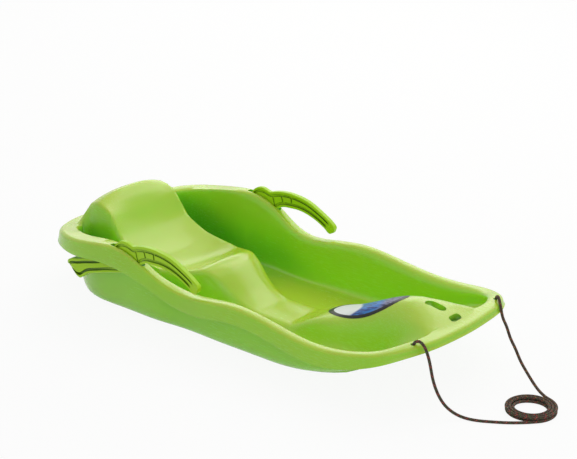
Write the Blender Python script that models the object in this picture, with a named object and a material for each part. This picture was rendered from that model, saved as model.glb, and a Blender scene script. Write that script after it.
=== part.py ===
"""A moulded plastic sled with two hand brakes and a tow rope.

Front is +X, left is +Y, up is +Z, all in metres. The origin is on the ground
under the middle of the sled. The rope and its coil lie in front of the nose.
"""
import math

import bmesh
import bpy
import numpy as np
from mathutils import Matrix, Vector

# Main sizes of the tub
SLED_LENGTH = 0.880
SLED_WIDTH = 0.3988
NOSE_X = SLED_LENGTH / 2
SIDE_Y = SLED_WIDTH / 2

# Moulding
WALL = 0.003
CLEARANCE = 0.0003
COLUMNS = 104

# Rim of the tub, rear centre to nose centre along the left side. Each row is the outer top edge: x as
# a share of the length, y as a share of half the width, and z. Then the width of the flat top, the
# depth of the skirt and how far in the wall's foot is.
RIM_SHAPE = (
    (-0.49375, 0.00000, 0.1012, 0.026, 0.0222, 0.053),
    (-0.49034, 0.27583, 0.1032, 0.026, 0.0222, 0.052),
    (-0.46534, 0.54162, 0.1102, 0.028, 0.0222, 0.050),
    (-0.40909, 0.81745, 0.1232, 0.034, 0.0232, 0.046),
    (-0.32898, 0.95787, 0.1322, 0.035, 0.0282, 0.042),
    (-0.24261, 0.96891, 0.1427, 0.029, 0.0332, 0.041),
    (-0.19943, 0.96489, 0.1426, 0.024, 0.0362, 0.040),
    (-0.15852, 0.95537, 0.1312, 0.021, 0.0332, 0.038),
    (-0.11989, 0.93882, 0.1132, 0.019, 0.0272, 0.037),
    (-0.08011, 0.91775, 0.0982, 0.021, 0.0262, 0.036),
    (-0.03693, 0.91274, 0.0922, 0.022, 0.0272, 0.036),
    (0.00625, 0.92277, 0.0952, 0.022, 0.0292, 0.037),
    (0.09148, 0.92528, 0.1042, 0.018, 0.0282, 0.038),
    (0.17841, 0.92528, 0.0982, 0.016, 0.0272, 0.038),
    (0.26420, 0.93781, 0.0882, 0.016, 0.0282, 0.038),
    (0.35057, 0.92778, 0.0902, 0.016, 0.0262, 0.038),
    (0.39261, 0.89769, 0.0957, 0.016, 0.0222, 0.037),
    (0.43125, 0.82748, 0.1018, 0.017, 0.0170, 0.036),
    (0.46193, 0.70211, 0.1092, 0.019, 0.0135, 0.035),
    (0.48239, 0.52658, 0.1130, 0.021, 0.0120, 0.034),
    (0.49125, 0.25075, 0.1132, 0.021, 0.0118, 0.034),
    (0.49375, 0.00000, 0.1132, 0.021, 0.0118, 0.034),
)
RIM = [(x * SLED_LENGTH, y * SIDE_Y, *rest) for x, y, *rest in RIM_SHAPE]
RIM_OUTER_RADIUS = 0.008
RIM_EDGE_INSET = 0.0025
SKIRT_FLARE = 0.003

# Floor of the tub: flat, then a parabola up to the nose, which would gain the rise in a whole length
FLOOR_TOP = 0.0115
FLOOR_RISE = 0.92928
FLOOR_RISE_START = 0.14773 * SLED_LENGTH
SPINE_REAR = -0.38068 * SLED_LENGTH
SPINE_FRONT = 0.39773 * SLED_LENGTH

# What stands up from the floor, rear to front: x as a share of the length, height on the centre line,
# height at its edge, half width to that edge, and the run of its side down to the floor.
SEAT_SHAPE = (
    (-0.46023, 0.108, 0.102, 0.070, 0.035),
    (-0.44318, 0.140, 0.122, 0.074, 0.035),
    (-0.42614, 0.157, 0.1450, 0.077, 0.035),
    (-0.40682, 0.167, 0.1545, 0.080, 0.034),
    (-0.38977, 0.172, 0.1585, 0.082, 0.032),
    (-0.37273, 0.161, 0.1560, 0.083, 0.030),
    (-0.35455, 0.141, 0.1480, 0.084, 0.028),
    (-0.33750, 0.118, 0.1300, 0.085, 0.027),
    (-0.31818, 0.098, 0.1065, 0.086, 0.026),
    (-0.28977, 0.078, 0.0885, 0.088, 0.026),
    (-0.25000, 0.064, 0.0765, 0.088, 0.027),
    (-0.20455, 0.058, 0.0725, 0.086, 0.029),
    (-0.17045, 0.062, 0.073, 0.079, 0.032),
    (-0.13636, 0.0765, 0.079, 0.068, 0.038),
    (-0.10455, 0.0900, 0.084, 0.060, 0.042),
    (-0.07955, 0.0855, 0.075, 0.055, 0.040),
    (-0.05114, 0.0660, 0.0545, 0.049, 0.034),
    (-0.01705, 0.0415, 0.035, 0.043, 0.026),
    (0.02273, 0.0270, 0.0255, 0.040, 0.020),
    (0.09659, 0.0262, 0.0250, 0.040, 0.020),
    (0.12273, 0.0355, 0.0335, 0.040, 0.024),
    (0.14773, 0.0485, 0.0450, 0.040, 0.028),
    (0.18182, 0.0620, 0.0560, 0.040, 0.034),
    (0.21591, 0.0725, 0.0635, 0.040, 0.040),
    (0.25000, 0.0855, 0.0710, 0.040, 0.046),
    (0.28409, 0.1003, 0.0800, 0.040, 0.052),
    (0.31818, 0.1147, 0.0900, 0.040, 0.056),
    (0.35227, 0.1255, 0.0990, 0.042, 0.056),
    (0.38068, 0.1295, 0.1080, 0.044, 0.054),
    (0.40682, 0.1295, 0.1140, 0.047, 0.050),
    (0.43409, 0.1262, 0.1155, 0.052, 0.046),
    (0.46023, 0.1195, 0.1130, 0.060, 0.040),
)
SEAT = [(x * SLED_LENGTH, *rest) for x, *rest in SEAT_SHAPE]
CROWN_POWER = 2.4

# Runners under the floor
RUNNER_INSET = 0.0714
RUNNER_Y = SIDE_Y - RUNNER_INSET
RUNNER_WIDTH = 0.012
RUNNER_DEPTH = FLOOR_TOP - WALL
RUNNER_REAR = -0.32386 * SLED_LENGTH
RUNNER_FRONT = 0.38068 * SLED_LENGTH

# Blind dimples in the pad: centre x, size along x, size along y
DIMPLE_LONG = (NOSE_X - 0.0715, 0.040, 0.017)
DIMPLE_CROSS = (NOSE_X - 0.0320, 0.012, 0.027)
DIMPLE_DEPTH = 0.0095

# Brake levers
BRAKE_INSET = 0.0166
BRAKE_Y = SIDE_Y - BRAKE_INSET
BRAKE_PIVOT_X = -0.190909 * SLED_LENGTH
BRAKE_PIVOT_Z = 0.122
LEVER_BASE_WIDTH = 0.0088
LEVER_WEB = 0.004
LEVER_FLANGE = 0.0048
LEVER_GROOVE = 0.0052
PIN_RADIUS = 0.003
PIN_LENGTH = 0.0144
HOOK_THICKNESS = 0.0024
HOOK_WALL = 0.0048
HOOK_NECK = 0.0048
LEVER_SIDE_GAP = 0.0007
SLOT_REAR_X = BRAKE_PIVOT_X - 0.0375
SLOT_FRONT_X = BRAKE_PIVOT_X + 0.0445

# Lever side view, handle tip to claw tip, from the pivot: top point x, z, bottom point x, z. Then the
# width, the groove share and how far it is set outward.
LEVER_SHAPE = (
    (0.1761, -0.0103, 0.1735, -0.0138, 0.0070, 0.0, 0.0008),
    (0.1774, -0.0064, 0.1700, -0.0161, 0.0090, 0.0, 0.0008),
    (0.1772, -0.0023, 0.1660, -0.0169, 0.0098, 0.0, 0.0008),
    (0.1755, 0.0006, 0.1627, -0.0160, 0.0100, 0.0, 0.0008),
    (0.1715, 0.0039, 0.1586, -0.0130, 0.0100, 0.0, 0.0008),
    (0.1670, 0.0075, 0.1540, -0.0094, 0.0100, 0.5, 0.0008),
    (0.1610, 0.0111, 0.1490, -0.0065, 0.0100, 1.0, 0.0008),
    (0.1500, 0.0172, 0.1405, -0.0020, 0.0100, 1.0, 0.0008),
    (0.1380, 0.0233, 0.1305, 0.0024, 0.0100, 1.0, 0.0008),
    (0.1260, 0.0292, 0.1200, 0.0060, 0.0100, 1.0, 0.0008),
    (0.1135, 0.0339, 0.1090, 0.0090, 0.0100, 1.0, 0.0008),
    (0.1015, 0.0368, 0.0990, 0.0108, 0.0100, 1.0, 0.0008),
    (0.0892, 0.0387, 0.0890, 0.0116, 0.0100, 1.0, 0.0008),
    (0.0768, 0.0397, 0.0790, 0.0114, 0.0100, 1.0, 0.0008),
    (0.0645, 0.0399, 0.0690, 0.0107, 0.0100, 1.0, 0.0008),
    (0.0515, 0.0389, 0.0590, 0.0100, 0.0098, 1.0, 0.0006),
    (0.0396, 0.0370, 0.0495, 0.0076, 0.0094, 1.0, 0.0003),
    (0.0285, 0.0340, 0.0385, 0.0015, 0.0088, 1.0, 0.0000),
    (0.0195, 0.0318, 0.0280, -0.0075, 0.0088, 1.0, 0.0000),
    (0.0120, 0.0336, 0.0180, -0.0160, 0.0088, 1.0, 0.0000),
    (0.0040, 0.0358, 0.0070, -0.0225, 0.0088, 1.0, 0.0000),
    (-0.0055, 0.0356, -0.0030, -0.0250, 0.0088, 1.0, 0.0000),
    (-0.0150, 0.0320, -0.0120, -0.0265, 0.0088, 1.0, 0.0000),
    (-0.0230, 0.0252, -0.0200, -0.0285, 0.0088, 1.0, 0.0000),
    (-0.0295, 0.0150, -0.0280, -0.0308, 0.0088, 1.0, 0.0000),
    (-0.0370, 0.0050, -0.0350, -0.0325, 0.0092, 1.0, 0.0000),
    (-0.0510, -0.0045, -0.0480, -0.0356, 0.0110, 1.0, 0.0000),
    (-0.0790, -0.0155, -0.0770, -0.0440, 0.0135, 1.0, 0.0000),
    (-0.1080, -0.0230, -0.1020, -0.0540, 0.0145, 1.0, 0.0000),
    (-0.1250, -0.0280, -0.1150, -0.0630, 0.0150, 1.0, 0.0000),
    (-0.1400, -0.0320, -0.1220, -0.0620, 0.0148, 1.0, 0.0000),
    (-0.1485, -0.0375, -0.1305, -0.0570, 0.0125, 0.9, 0.0000),
    (-0.1515, -0.0425, -0.1375, -0.0530, 0.0080, 0.6, 0.0000),
)
LEVER = [
    (BRAKE_PIVOT_X + top_x, BRAKE_PIVOT_Z + top_z, BRAKE_PIVOT_X + low_x, BRAKE_PIVOT_Z + low_z, *rest)
    for top_x, top_z, low_x, low_z, *rest in LEVER_SHAPE
]
LEVER_STATIONS = 30
CROSS_GROOVES = (BRAKE_PIVOT_X + 0.0250, BRAKE_PIVOT_X + 0.0460, BRAKE_PIVOT_X + 0.0720)
CROSS_GROOVE_WIDTH = 0.0034

# Sticker on the ramp of the pad
STICKER_CENTRE_X = 0.26136 * SLED_LENGTH
STICKER_PLAN_LENGTH = 0.164
STICKER_WIDTH = 0.0755
STICKER_THICKNESS = 0.0003
STICKER_LIFT = 0.00036
STICKER_SIDES = 40

# Rope
ROPE_RADIUS = 0.0025
ROPE_HOLE_X = 0.465341 * SLED_LENGTH
ROPE_HOLE_Y = 0.58676 * SIDE_Y
ROPE_HOLE_RADIUS = 0.0045
KNOT_RADIUS = 0.0068
KNOT_HEIGHT = 0.0105
KNOT_TAIL = 0.0010
COIL_CENTRE = (ROPE_HOLE_X + 0.1525, -0.0040)
COIL_OUTER_RADIUS = 0.0420
COIL_PITCH = 0.0055
COIL_LAYER = 0.0055
COIL_START_DEG = -45.0
COIL_TURNS = 5 + 120.0 / 360.0
LOOP_POINTS = 24
ROPE_FLOOR = ROPE_RADIUS + 0.0002
ROPE_STEP = 0.0125
ARCH_STEP = 0.004
ARCH_LENGTH = 0.032

# Route of each free stretch, hole to coil, between its straight ends: x from the hole, y as a
# share of the hole's y, and z
RIGHT_ROUTE = (
    (0.0020, 1.0000, 0.1145),
    (0.0064, 1.0000, 0.1187),
    (0.0115, 1.0000, 0.1202),
    (0.0168, 1.0000, 0.1188),
    (0.0216, 1.0000, 0.1148),
    (0.0270, 1.0006, 0.1063),
    (0.0326, 1.0014, 0.0922),
    (0.0406, 1.0000, 0.0622),
    (0.0470, 0.9957, 0.0464),
    (0.0545, 0.9786, 0.0322),
    (0.0616, 0.9530, 0.0220),
    (0.0700, 0.9145, 0.0135),
    (0.0834, 0.8590, 0.0060),
    (0.0985, 0.7991, ROPE_FLOOR),
    (0.1132, 0.7504, ROPE_FLOOR),
    (0.1267, 0.6838, ROPE_FLOOR),
    (0.1415, 0.6026, ROPE_FLOOR),
    (0.1590, 0.4889, ROPE_FLOOR),
)
LEFT_ROUTE = (
    (0.0013, 0.9909, 0.1145),
    (0.0048, 0.9667, 0.1188),
    (0.0089, 0.9382, 0.1202),
    (0.0131, 0.9097, 0.1188),
    (0.0168, 0.8839, 0.1150),
    (0.0220, 0.8510, 0.1070),
    (0.0305, 0.8051, 0.0930),
    (0.0405, 0.7650, 0.0840),
    (0.0518, 0.7265, 0.0682),
    (0.0657, 0.6838, 0.0544),
    (0.0813, 0.6197, 0.0400),
    (0.1005, 0.5470, 0.0270),
    (0.1195, 0.4744, 0.0165),
    (0.1385, 0.3974, 0.0100),
)

# Colours (linear): hull, levers, steel, rope and sticker
HULL_COLOUR = (0.300, 0.560, 0.045, 1.0)
LEVER_COLOUR = (0.180, 0.420, 0.010, 1.0)
STEEL_COLOUR = (0.560, 0.570, 0.580, 1.0)
ROPE_COLOUR = (0.070, 0.040, 0.030, 1.0)
STICKER_COLOUR = (0.080, 0.250, 0.550, 1.0)


def clear_scene():
    """Remove every object, so that the model starts from nothing."""
    for item in list(bpy.data.objects):
        bpy.data.objects.remove(item, do_unlink=True)


def material(name, colour, roughness, metallic=0.0):
    """Return a Principled material of one colour."""
    result = bpy.data.materials.new(name)
    result.use_nodes = True
    shader = result.node_tree.nodes["Principled BSDF"]
    shader.inputs["Base Color"].default_value = colour
    shader.inputs["Roughness"].default_value = roughness
    shader.inputs["Metallic"].default_value = metallic
    result.diffuse_color = colour
    return result


def add_object(name, data, look=None):
    """Link mesh or curve data into the scene as one object."""
    item = bpy.data.objects.new(name, data)
    bpy.context.scene.collection.objects.link(item)
    if look is not None:
        data.materials.append(look)
    return item


def add_mesh(name, points, faces, look=None, sharp_deg=None):
    """Make one mesh object from points and faces, with its faces pointing out."""
    mesh = bpy.data.meshes.new(name)
    mesh.from_pydata([tuple(map(float, p)) for p in points], [], faces)
    sheet = bmesh.new()
    sheet.from_mesh(mesh)
    bmesh.ops.recalc_face_normals(sheet, faces=sheet.faces)
    sheet.to_mesh(mesh)
    sheet.free()
    if sharp_deg is not None:
        mesh.shade_smooth()
        mesh.set_sharp_from_angle(angle=math.radians(sharp_deg))
    return add_object(name, mesh, look)


def as_guide(item):
    """Mark an object as a cutter or a guide, which is not a piece."""
    item.hide_render = True
    item.display_type = "WIRE"
    return item


def combine(target, tool, operation):
    """Join or cut target with tool."""
    as_guide(tool)
    step = target.modifiers.new(tool.name, "BOOLEAN")
    step.operation = operation
    step.solver = "EXACT"
    step.object = tool


def move_origin(item, place):
    """Put an object's origin at place and leave its mesh where it is."""
    item.data.transform(Matrix.Translation(-Vector(place)))
    item.location = place


def loft_faces(rows, columns, closed=True):
    """Quads between successive rows of points, each row closed on itself if asked."""
    faces = []
    last = columns if closed else columns - 1
    for row in range(rows - 1):
        for column in range(last):
            right = (column + 1) % columns
            low = row * columns
            high = low + columns
            faces.append((low + column, low + right, high + right, high + column))
    return faces


def steady(rows, where):
    """Read each value column of rows at where, with no overshoot between the rows.

    The first value in a row is its place. The others are joined by cubic pieces whose
    slopes never carry them past a neighbouring row.
    """
    table = np.array(rows, dtype=float)
    place = table[:, 0]
    values = table[:, 1:]
    gaps = np.diff(place)
    rise = np.diff(values, axis=0) / gaps[:, None]
    slopes = np.zeros_like(values)
    slopes[0] = rise[0]
    slopes[-1] = rise[-1]
    same_way = rise[:-1] * rise[1:] > 0
    weight_a = (2 * gaps[1:] + gaps[:-1])[:, None]
    weight_b = (gaps[1:] + 2 * gaps[:-1])[:, None]
    safe_a = np.where(same_way, rise[:-1], 1.0)
    safe_b = np.where(same_way, rise[1:], 1.0)
    mean = (weight_a + weight_b) / (weight_a / safe_a + weight_b / safe_b)
    slopes[1:-1] = np.where(same_way, mean, 0.0)
    where = np.clip(np.asarray(where, dtype=float), place[0], place[-1])
    piece = np.clip(np.searchsorted(place, where, side="right") - 1, 0, len(gaps) - 1)
    step = gaps[piece][..., None]
    t = (where - place[piece])[..., None] / step
    low = values[piece]
    high = values[piece + 1]
    return (
        low * (1 + 2 * t) * (1 - t) ** 2
        + slopes[piece] * step * t * (1 - t) ** 2
        + high * t * t * (3 - 2 * t)
        - slopes[piece + 1] * step * t * t * (1 - t)
    )


def smooth_curve(points, samples, closed=False):
    """Sample a smooth curve through points at even steps of its length."""
    knots = np.array(points, dtype=float)
    if closed:
        knots = np.vstack([knots[-3:], knots, knots[:4]])
    lengths = np.linalg.norm(np.diff(knots[:, :3], axis=0), axis=1)
    count = len(knots)
    system = np.eye(count)
    right = np.zeros_like(knots)
    for i in range(1, count - 1):
        before = lengths[i - 1]
        after = lengths[i]
        system[i, i - 1] = before
        system[i, i] = 2 * (before + after)
        system[i, i + 1] = after
        right[i] = 6 * ((knots[i + 1] - knots[i]) / after - (knots[i] - knots[i - 1]) / before)
    bend = np.linalg.solve(system, right)
    pieces = range(3, count - 4) if closed else range(count - 1)
    fine = []
    for i in pieces:
        h = lengths[i]
        for t in np.linspace(0, 1, 24, endpoint=False):
            a = 1 - t
            fine.append(
                a * knots[i]
                + t * knots[i + 1]
                + h * h / 6 * ((a ** 3 - a) * bend[i] + (t ** 3 - t) * bend[i + 1])
            )
    fine.append(knots[count - 4] if closed else knots[-1])
    fine = np.array(fine)
    run = np.concatenate([[0.0], np.cumsum(np.linalg.norm(np.diff(fine[:, :3], axis=0), axis=1))])
    stops = np.linspace(0, run[-1], samples, endpoint=not closed)
    return np.stack([np.interp(stops, run, fine[:, k]) for k in range(fine.shape[1])], axis=1)


def floor_height(x):
    """Height of the tub's floor."""
    run = np.maximum(0.0, x - FLOOR_RISE_START) / SLED_LENGTH
    return FLOOR_TOP + FLOOR_RISE * run ** 2


def inside_height(x, y):
    """Height of the inside of the tub: floor, backrest, seat, bolster, tongue and pad."""
    centre, edge, half, side = np.moveaxis(steady(SEAT, x), -1, 0)
    out = np.abs(y)
    top = centre + (edge - centre) * (out / half) ** CROWN_POWER
    t = np.clip((out - half) / side, 0.0, 1.0)
    fall = t * t * (3 - 2 * t)
    return top * (1 - fall) + floor_height(x) * fall


def rim_columns(count):
    """Stations round the rim, anticlockwise from the rear centre: the RIM values and the way out."""
    half = np.array(RIM)
    other = half[1:-1][::-1] * np.array([1, -1, 1, 1, 1, 1])
    ring = smooth_curve(np.vstack([half, other]), count, closed=True)
    mirrored = np.roll(ring[::-1], 1, axis=0) * np.array([1, -1, 1, 1, 1, 1])
    ring = (ring + mirrored) / 2
    along = np.roll(ring, -1, axis=0)[:, :2] - np.roll(ring, 1, axis=0)[:, :2]
    along /= np.linalg.norm(along, axis=1)[:, None]
    outward = np.stack([-along[:, 1], along[:, 0]], axis=1)
    return ring, outward


def hull_rows(count, wall_steps, inner_steps, arc_steps):
    """Rows of points of the tub's upper surface, from the skirt's lower edge to the spine."""
    ring, outward = rim_columns(count)
    place = ring[:, :2]
    top, width, skirt, foot = ring[:, 2], ring[:, 3], ring[:, 4], ring[:, 5]
    rows = []

    def add(inset, height):
        spot = place - outward * np.broadcast_to(inset, (count,))[:, None]
        rows.append(np.column_stack([spot, np.broadcast_to(height, (count,))]))

    outer = -RIM_EDGE_INSET
    add(outer - SKIRT_FLARE, top - skirt)
    add(outer - SKIRT_FLARE * 0.35, top - (skirt + RIM_OUTER_RADIUS) / 2)
    for step in range(arc_steps + 1):
        angle = math.pi / 2 * step / arc_steps
        add(outer + RIM_OUTER_RADIUS * (1 - math.cos(angle)), top - RIM_OUTER_RADIUS * (1 - math.sin(angle)))
    foot_spot = place - outward * foot[:, None]
    drop = top - inside_height(foot_spot[:, 0], foot_spot[:, 1])
    start = width - 0.004
    straight = np.clip(-drop / 0.005, 0.0, 1.0)
    for step in range(wall_steps + 1):
        t = step / wall_steps
        across = t + 0.16 * math.sin(2 * math.pi * t)
        down = t * t * (3 - 2 * t)
        down = down + (across - down) * straight
        add(start + (foot - start) * across, top - drop * down)
    spine_map = (SPINE_FRONT - SPINE_REAR) / (foot_spot[:, 0].max() - foot_spot[:, 0].min())
    spine_x = SPINE_REAR + (foot_spot[:, 0] - foot_spot[:, 0].min()) * spine_map
    side = np.abs(np.arange(count) - count / 2) / (count / 2)
    even = SPINE_FRONT + (SPINE_REAR - SPINE_FRONT) * side
    spine_x = 0.86 * spine_x + 0.14 * even
    for step in range(1, inner_steps + 1):
        t = step / inner_steps
        x = foot_spot[:, 0] * (1 - t) + spine_x * t
        y = foot_spot[:, 1] * (1 - t)
        rows.append(np.column_stack([x, y, inside_height(x, y)]))
    return rows


def hull_sheet(rows, count):
    """Points and faces of the upper surface, whose last row folds onto the spine."""
    points = np.vstack(rows[:-1])
    spine = rows[-1][: count // 2 + 1]
    first = len(points)
    points = np.vstack([points, spine])
    faces = loft_faces(len(rows) - 1, count)
    last = (len(rows) - 2) * count
    for column in range(count):
        right = (column + 1) % count
        a = first + (column if column <= count // 2 else count - column)
        b = first + (right if right <= count // 2 else count - right)
        face = [last + column, last + right, b, a]
        if a == b:
            face.pop()
        faces.append(tuple(face))
    return points, faces


def vertex_normals(points, faces):
    """Upward normal of a sheet at each of its points."""
    normals = np.zeros_like(points)
    for face in faces:
        corner = points[list(face)]
        following = np.roll(corner, -1, axis=0)
        area = np.cross(corner, following).sum(axis=0)
        normals[list(face)] += area
    return normals / np.linalg.norm(normals, axis=1)[:, None]


def triangles(points, faces):
    """Split each four-sided face along its shorter diagonal."""
    result = []
    for face in faces:
        if len(face) == 3:
            result.append(face)
            continue
        a, b, c, d = face
        if np.linalg.norm(points[a] - points[c]) < np.linalg.norm(points[b] - points[d]) - 1e-7:
            result += [(a, b, c), (a, c, d)]
        else:
            result += [(a, b, d), (b, c, d)]
    return result


def upper_surface():
    """Points, triangles and normals of the tub's upper surface."""
    rows = hull_rows(COLUMNS, wall_steps=5, inner_steps=10, arc_steps=2)
    points, faces = hull_sheet(rows, COLUMNS)
    faces = triangles(points, faces)
    normals = vertex_normals(points, faces)
    if normals[-1][2] < 0:
        normals = -normals
    return points, faces, normals


def hull_shell(look):
    """The tub with its rim, skirt and seat as one closed shell."""
    points, faces, normals = upper_surface()
    lower = points - normals * WALL
    edge = slice(0, COLUMNS)
    lower[edge, 2] = points[edge, 2]
    total = len(points)
    shell = list(faces)
    shell += [tuple(total + i for i in reversed(face)) for face in faces]
    for column in range(COLUMNS):
        right = (column + 1) % COLUMNS
        shell.append((column, total + column, total + right, right))
    return add_mesh("hull", np.vstack([points, lower]), shell, look, sharp_deg=50)


def runner(side):
    """A runner that follows the underside of the floor."""
    stations = np.linspace(RUNNER_REAR, RUNNER_FRONT, 26)
    underside = floor_height(stations) - WALL
    slope = np.gradient(underside, stations)
    ramp = np.clip((stations - RUNNER_REAR) / 0.02, 0, 1) * np.clip((RUNNER_FRONT - stations) / 0.05, 0, 1)
    depth = np.maximum(RUNNER_DEPTH * np.sqrt(ramp), 0.0002)
    points = []
    for x, z, tilt, drop in zip(stations, underside, slope, depth):
        lean = drop * tilt / math.hypot(1, tilt)
        fall = drop / math.hypot(1, tilt)
        top = z + WALL * 0.5
        wide = RUNNER_WIDTH / 2
        narrow = wide - 0.0015
        points.append((x, side * RUNNER_Y - wide, top))
        points.append((x + lean, side * RUNNER_Y - narrow, z - fall))
        points.append((x + lean, side * RUNNER_Y + narrow, z - fall))
        points.append((x, side * RUNNER_Y + wide, top))
    faces = loft_faces(len(stations), 4)
    faces.append((0, 1, 2, 3))
    end = len(points)
    faces.append((end - 4, end - 3, end - 2, end - 1))
    return add_mesh("runner_guide_" + side_name(side), points, faces)


def side_name(side):
    """The rider's right is at -Y."""
    return "left" if side > 0 else "right"


def prism(name, outline, low, high):
    """A solid from an outline in the x-z plane, drawn from y = low to y = high."""
    points = [(x, low, z) for x, z in outline] + [(x, high, z) for x, z in outline]
    count = len(outline)
    faces = loft_faces(2, count)
    faces.append(tuple(range(count)))
    faces.append(tuple(range(2 * count - 1, count - 1, -1)))
    return add_mesh(name, points, faces)


def arc(centre, radius, start_deg, end_deg, steps):
    """Points of an arc in a plane."""
    angles = np.radians(np.linspace(start_deg, end_deg, steps + 1))
    return [(centre[0] + radius * math.cos(a), centre[1] + radius * math.sin(a)) for a in angles]


def rounded_slot(centre, along, across, steps=6):
    """Outline of a slot with round ends, lying along the first axis."""
    radius = across / 2
    half = along / 2 - radius
    right = arc((centre[0] + half, centre[1]), radius, -90, 90, steps)
    left = arc((centre[0] - half, centre[1]), radius, 90, 270, steps)
    return right + left


def upright(name, outline, low, high):
    """A solid from an outline in the x-y plane, drawn from z = low to z = high."""
    points = [(x, y, low) for x, y in outline] + [(x, y, high) for x, y in outline]
    count = len(outline)
    faces = loft_faces(2, count)
    faces.append(tuple(range(count)))
    faces.append(tuple(range(2 * count - 1, count - 1, -1)))
    return add_mesh(name, points, faces)


def hook(side, inner):
    """One of the two snap hooks that hold a pin under the rim."""
    face = LEVER_BASE_WIDTH / 2 + LEVER_SIDE_GAP
    near = BRAKE_Y - face - HOOK_THICKNESS if inner else BRAKE_Y + face
    far = near + HOOK_THICKNESS
    seat = PIN_RADIUS + CLEARANCE * 1.25
    neck_deg = math.degrees(math.asin(HOOK_NECK / 2 / seat))
    centre = (BRAKE_PIVOT_X, BRAKE_PIVOT_Z)
    wide = seat + HOOK_WALL
    top = column_height(BRAKE_PIVOT_X) - WALL * 0.5
    outline = [(centre[0] - wide, top), (centre[0] - wide, centre[1])]
    outline += arc(centre, wide, 180, 242, 4)[1:]
    outline += [(centre[0] - HOOK_NECK / 2, centre[1] - wide * 0.86)]
    outline += arc(centre, seat, 270 - neck_deg, neck_deg - 90, 16)
    outline += [(centre[0] + HOOK_NECK / 2, centre[1] - wide * 0.86)]
    outline += arc(centre, wide, 298, 360, 4)[:-1]
    outline += [(centre[0] + wide, centre[1]), (centre[0] + wide, top)]
    name = "hook_guide_" + ("inner_" if inner else "outer_") + side_name(side)
    return prism(name, outline, *sorted((side * near, side * far)))


def column_height(x):
    """Height of the rim's top at a place along the side."""
    half = np.array(RIM)
    ring = smooth_curve(half, 400)
    sides = ring[np.abs(ring[:, 0]) < 0.43 * SLED_LENGTH]
    return float(np.interp(x, sides[:, 0], sides[:, 2]))


def ridge_height(x):
    """Height of the tub's upper surface on the centre line, from the pad out to the nose."""
    rows = hull_rows(COLUMNS, wall_steps=5, inner_steps=10, arc_steps=2)
    line = np.array([row[COLUMNS // 2] for row in rows])[::-1]
    return float(np.interp(x, line[:, 0], line[:, 2]))


def dimple(name, where, sign):
    """A blind dimple: the bowl that is cut, or the cup that carries it under the pad."""
    x, along, across = where
    spread = 0.0 if sign < 0 else 2 * WALL
    floor = 0.0 if sign < 0 else WALL
    outline = rounded_slot((0, 0), max(along, across) + spread, min(along, across) + spread)
    if across > along:
        outline = [(b, a) for a, b in outline]
    lift = 0.008 if sign < 0 else -WALL * 0.5
    points = []
    for grow, height in ((1.0, lift), (1.0, -DIMPLE_DEPTH * 0.45), (0.72, -DIMPLE_DEPTH)):
        for u, v in outline:
            drop = height if sign < 0 or height > -WALL else height - floor
            points.append((x + u * grow, v * grow, ridge_height(x + u * grow) + drop))
    count = len(outline)
    faces = loft_faces(3, count)
    faces.append(tuple(range(count)))
    faces.append(tuple(range(3 * count - 1, 2 * count - 1, -1)))
    return add_mesh(name, points, faces)


def brake_slot(side):
    """The cut in the rim that a lever passes through."""
    wide = LEVER_BASE_WIDTH + 2 * LEVER_SIDE_GAP
    middle = (SLOT_REAR_X + SLOT_FRONT_X) / 2
    outline = rounded_slot((middle, side * BRAKE_Y), SLOT_FRONT_X - SLOT_REAR_X, wide, steps=4)
    return upright("slot_guide_" + side_name(side), outline, 0.095, 0.170)


def rope_hole(side):
    """The cut at a front corner that the rope passes through."""
    outline = arc((ROPE_HOLE_X, side * ROPE_HOLE_Y), ROPE_HOLE_RADIUS, 0, 330, 11)
    return upright("hole_guide_" + side_name(side), outline, 0.095, 0.125)


def make_hull(look):
    """The whole moulding."""
    hull = hull_shell(look)
    for side in (-1, 1):
        combine(hull, runner(side), "UNION")
        combine(hull, hook(side, inner=True), "UNION")
        combine(hull, hook(side, inner=False), "UNION")
        combine(hull, brake_slot(side), "DIFFERENCE")
        combine(hull, rope_hole(side), "DIFFERENCE")
    for name, where in (("long", DIMPLE_LONG), ("cross", DIMPLE_CROSS)):
        combine(hull, dimple("cup_guide_" + name, where, 1), "UNION")
        combine(hull, dimple("bowl_guide_" + name, where, -1), "DIFFERENCE")
    return hull


def lever_section(height, width, groove):
    """Right half of the lever's section, top to bottom, as (out, up) from its middle."""
    half = height / 2
    edge = width / 2
    chamfer = min(0.0012, edge * 0.4)
    web = min(edge - (edge - LEVER_WEB / 2) * groove, edge - 0.0002)
    flange = half - max(min(LEVER_FLANGE, height * 0.2), chamfer + 0.0002)
    body = flange - min(LEVER_GROOVE, height * 0.2)
    face = edge - 0.0001 - 0.0009 * groove
    slant = min(0.0005, height * 0.05)
    return [
        (edge - chamfer, half),
        (edge, half - chamfer),
        (edge, flange),
        (web, flange - slant),
        (web, body + slant),
        (face, body),
        (face, -body),
        (web, -body - slant),
        (web, -flange + slant),
        (edge, -flange),
        (edge, -half + chamfer),
        (edge - chamfer, -half),
    ]


def lever_stations(count):
    """Smooth stations along the lever, as rows like those of LEVER."""
    keys = np.array(LEVER)
    middle = (keys[:, 0:2] + keys[:, 2:4]) / 2
    rows = np.column_stack([middle, np.zeros(len(keys)), keys])
    return smooth_curve(rows, count)[:, 3:]


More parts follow.
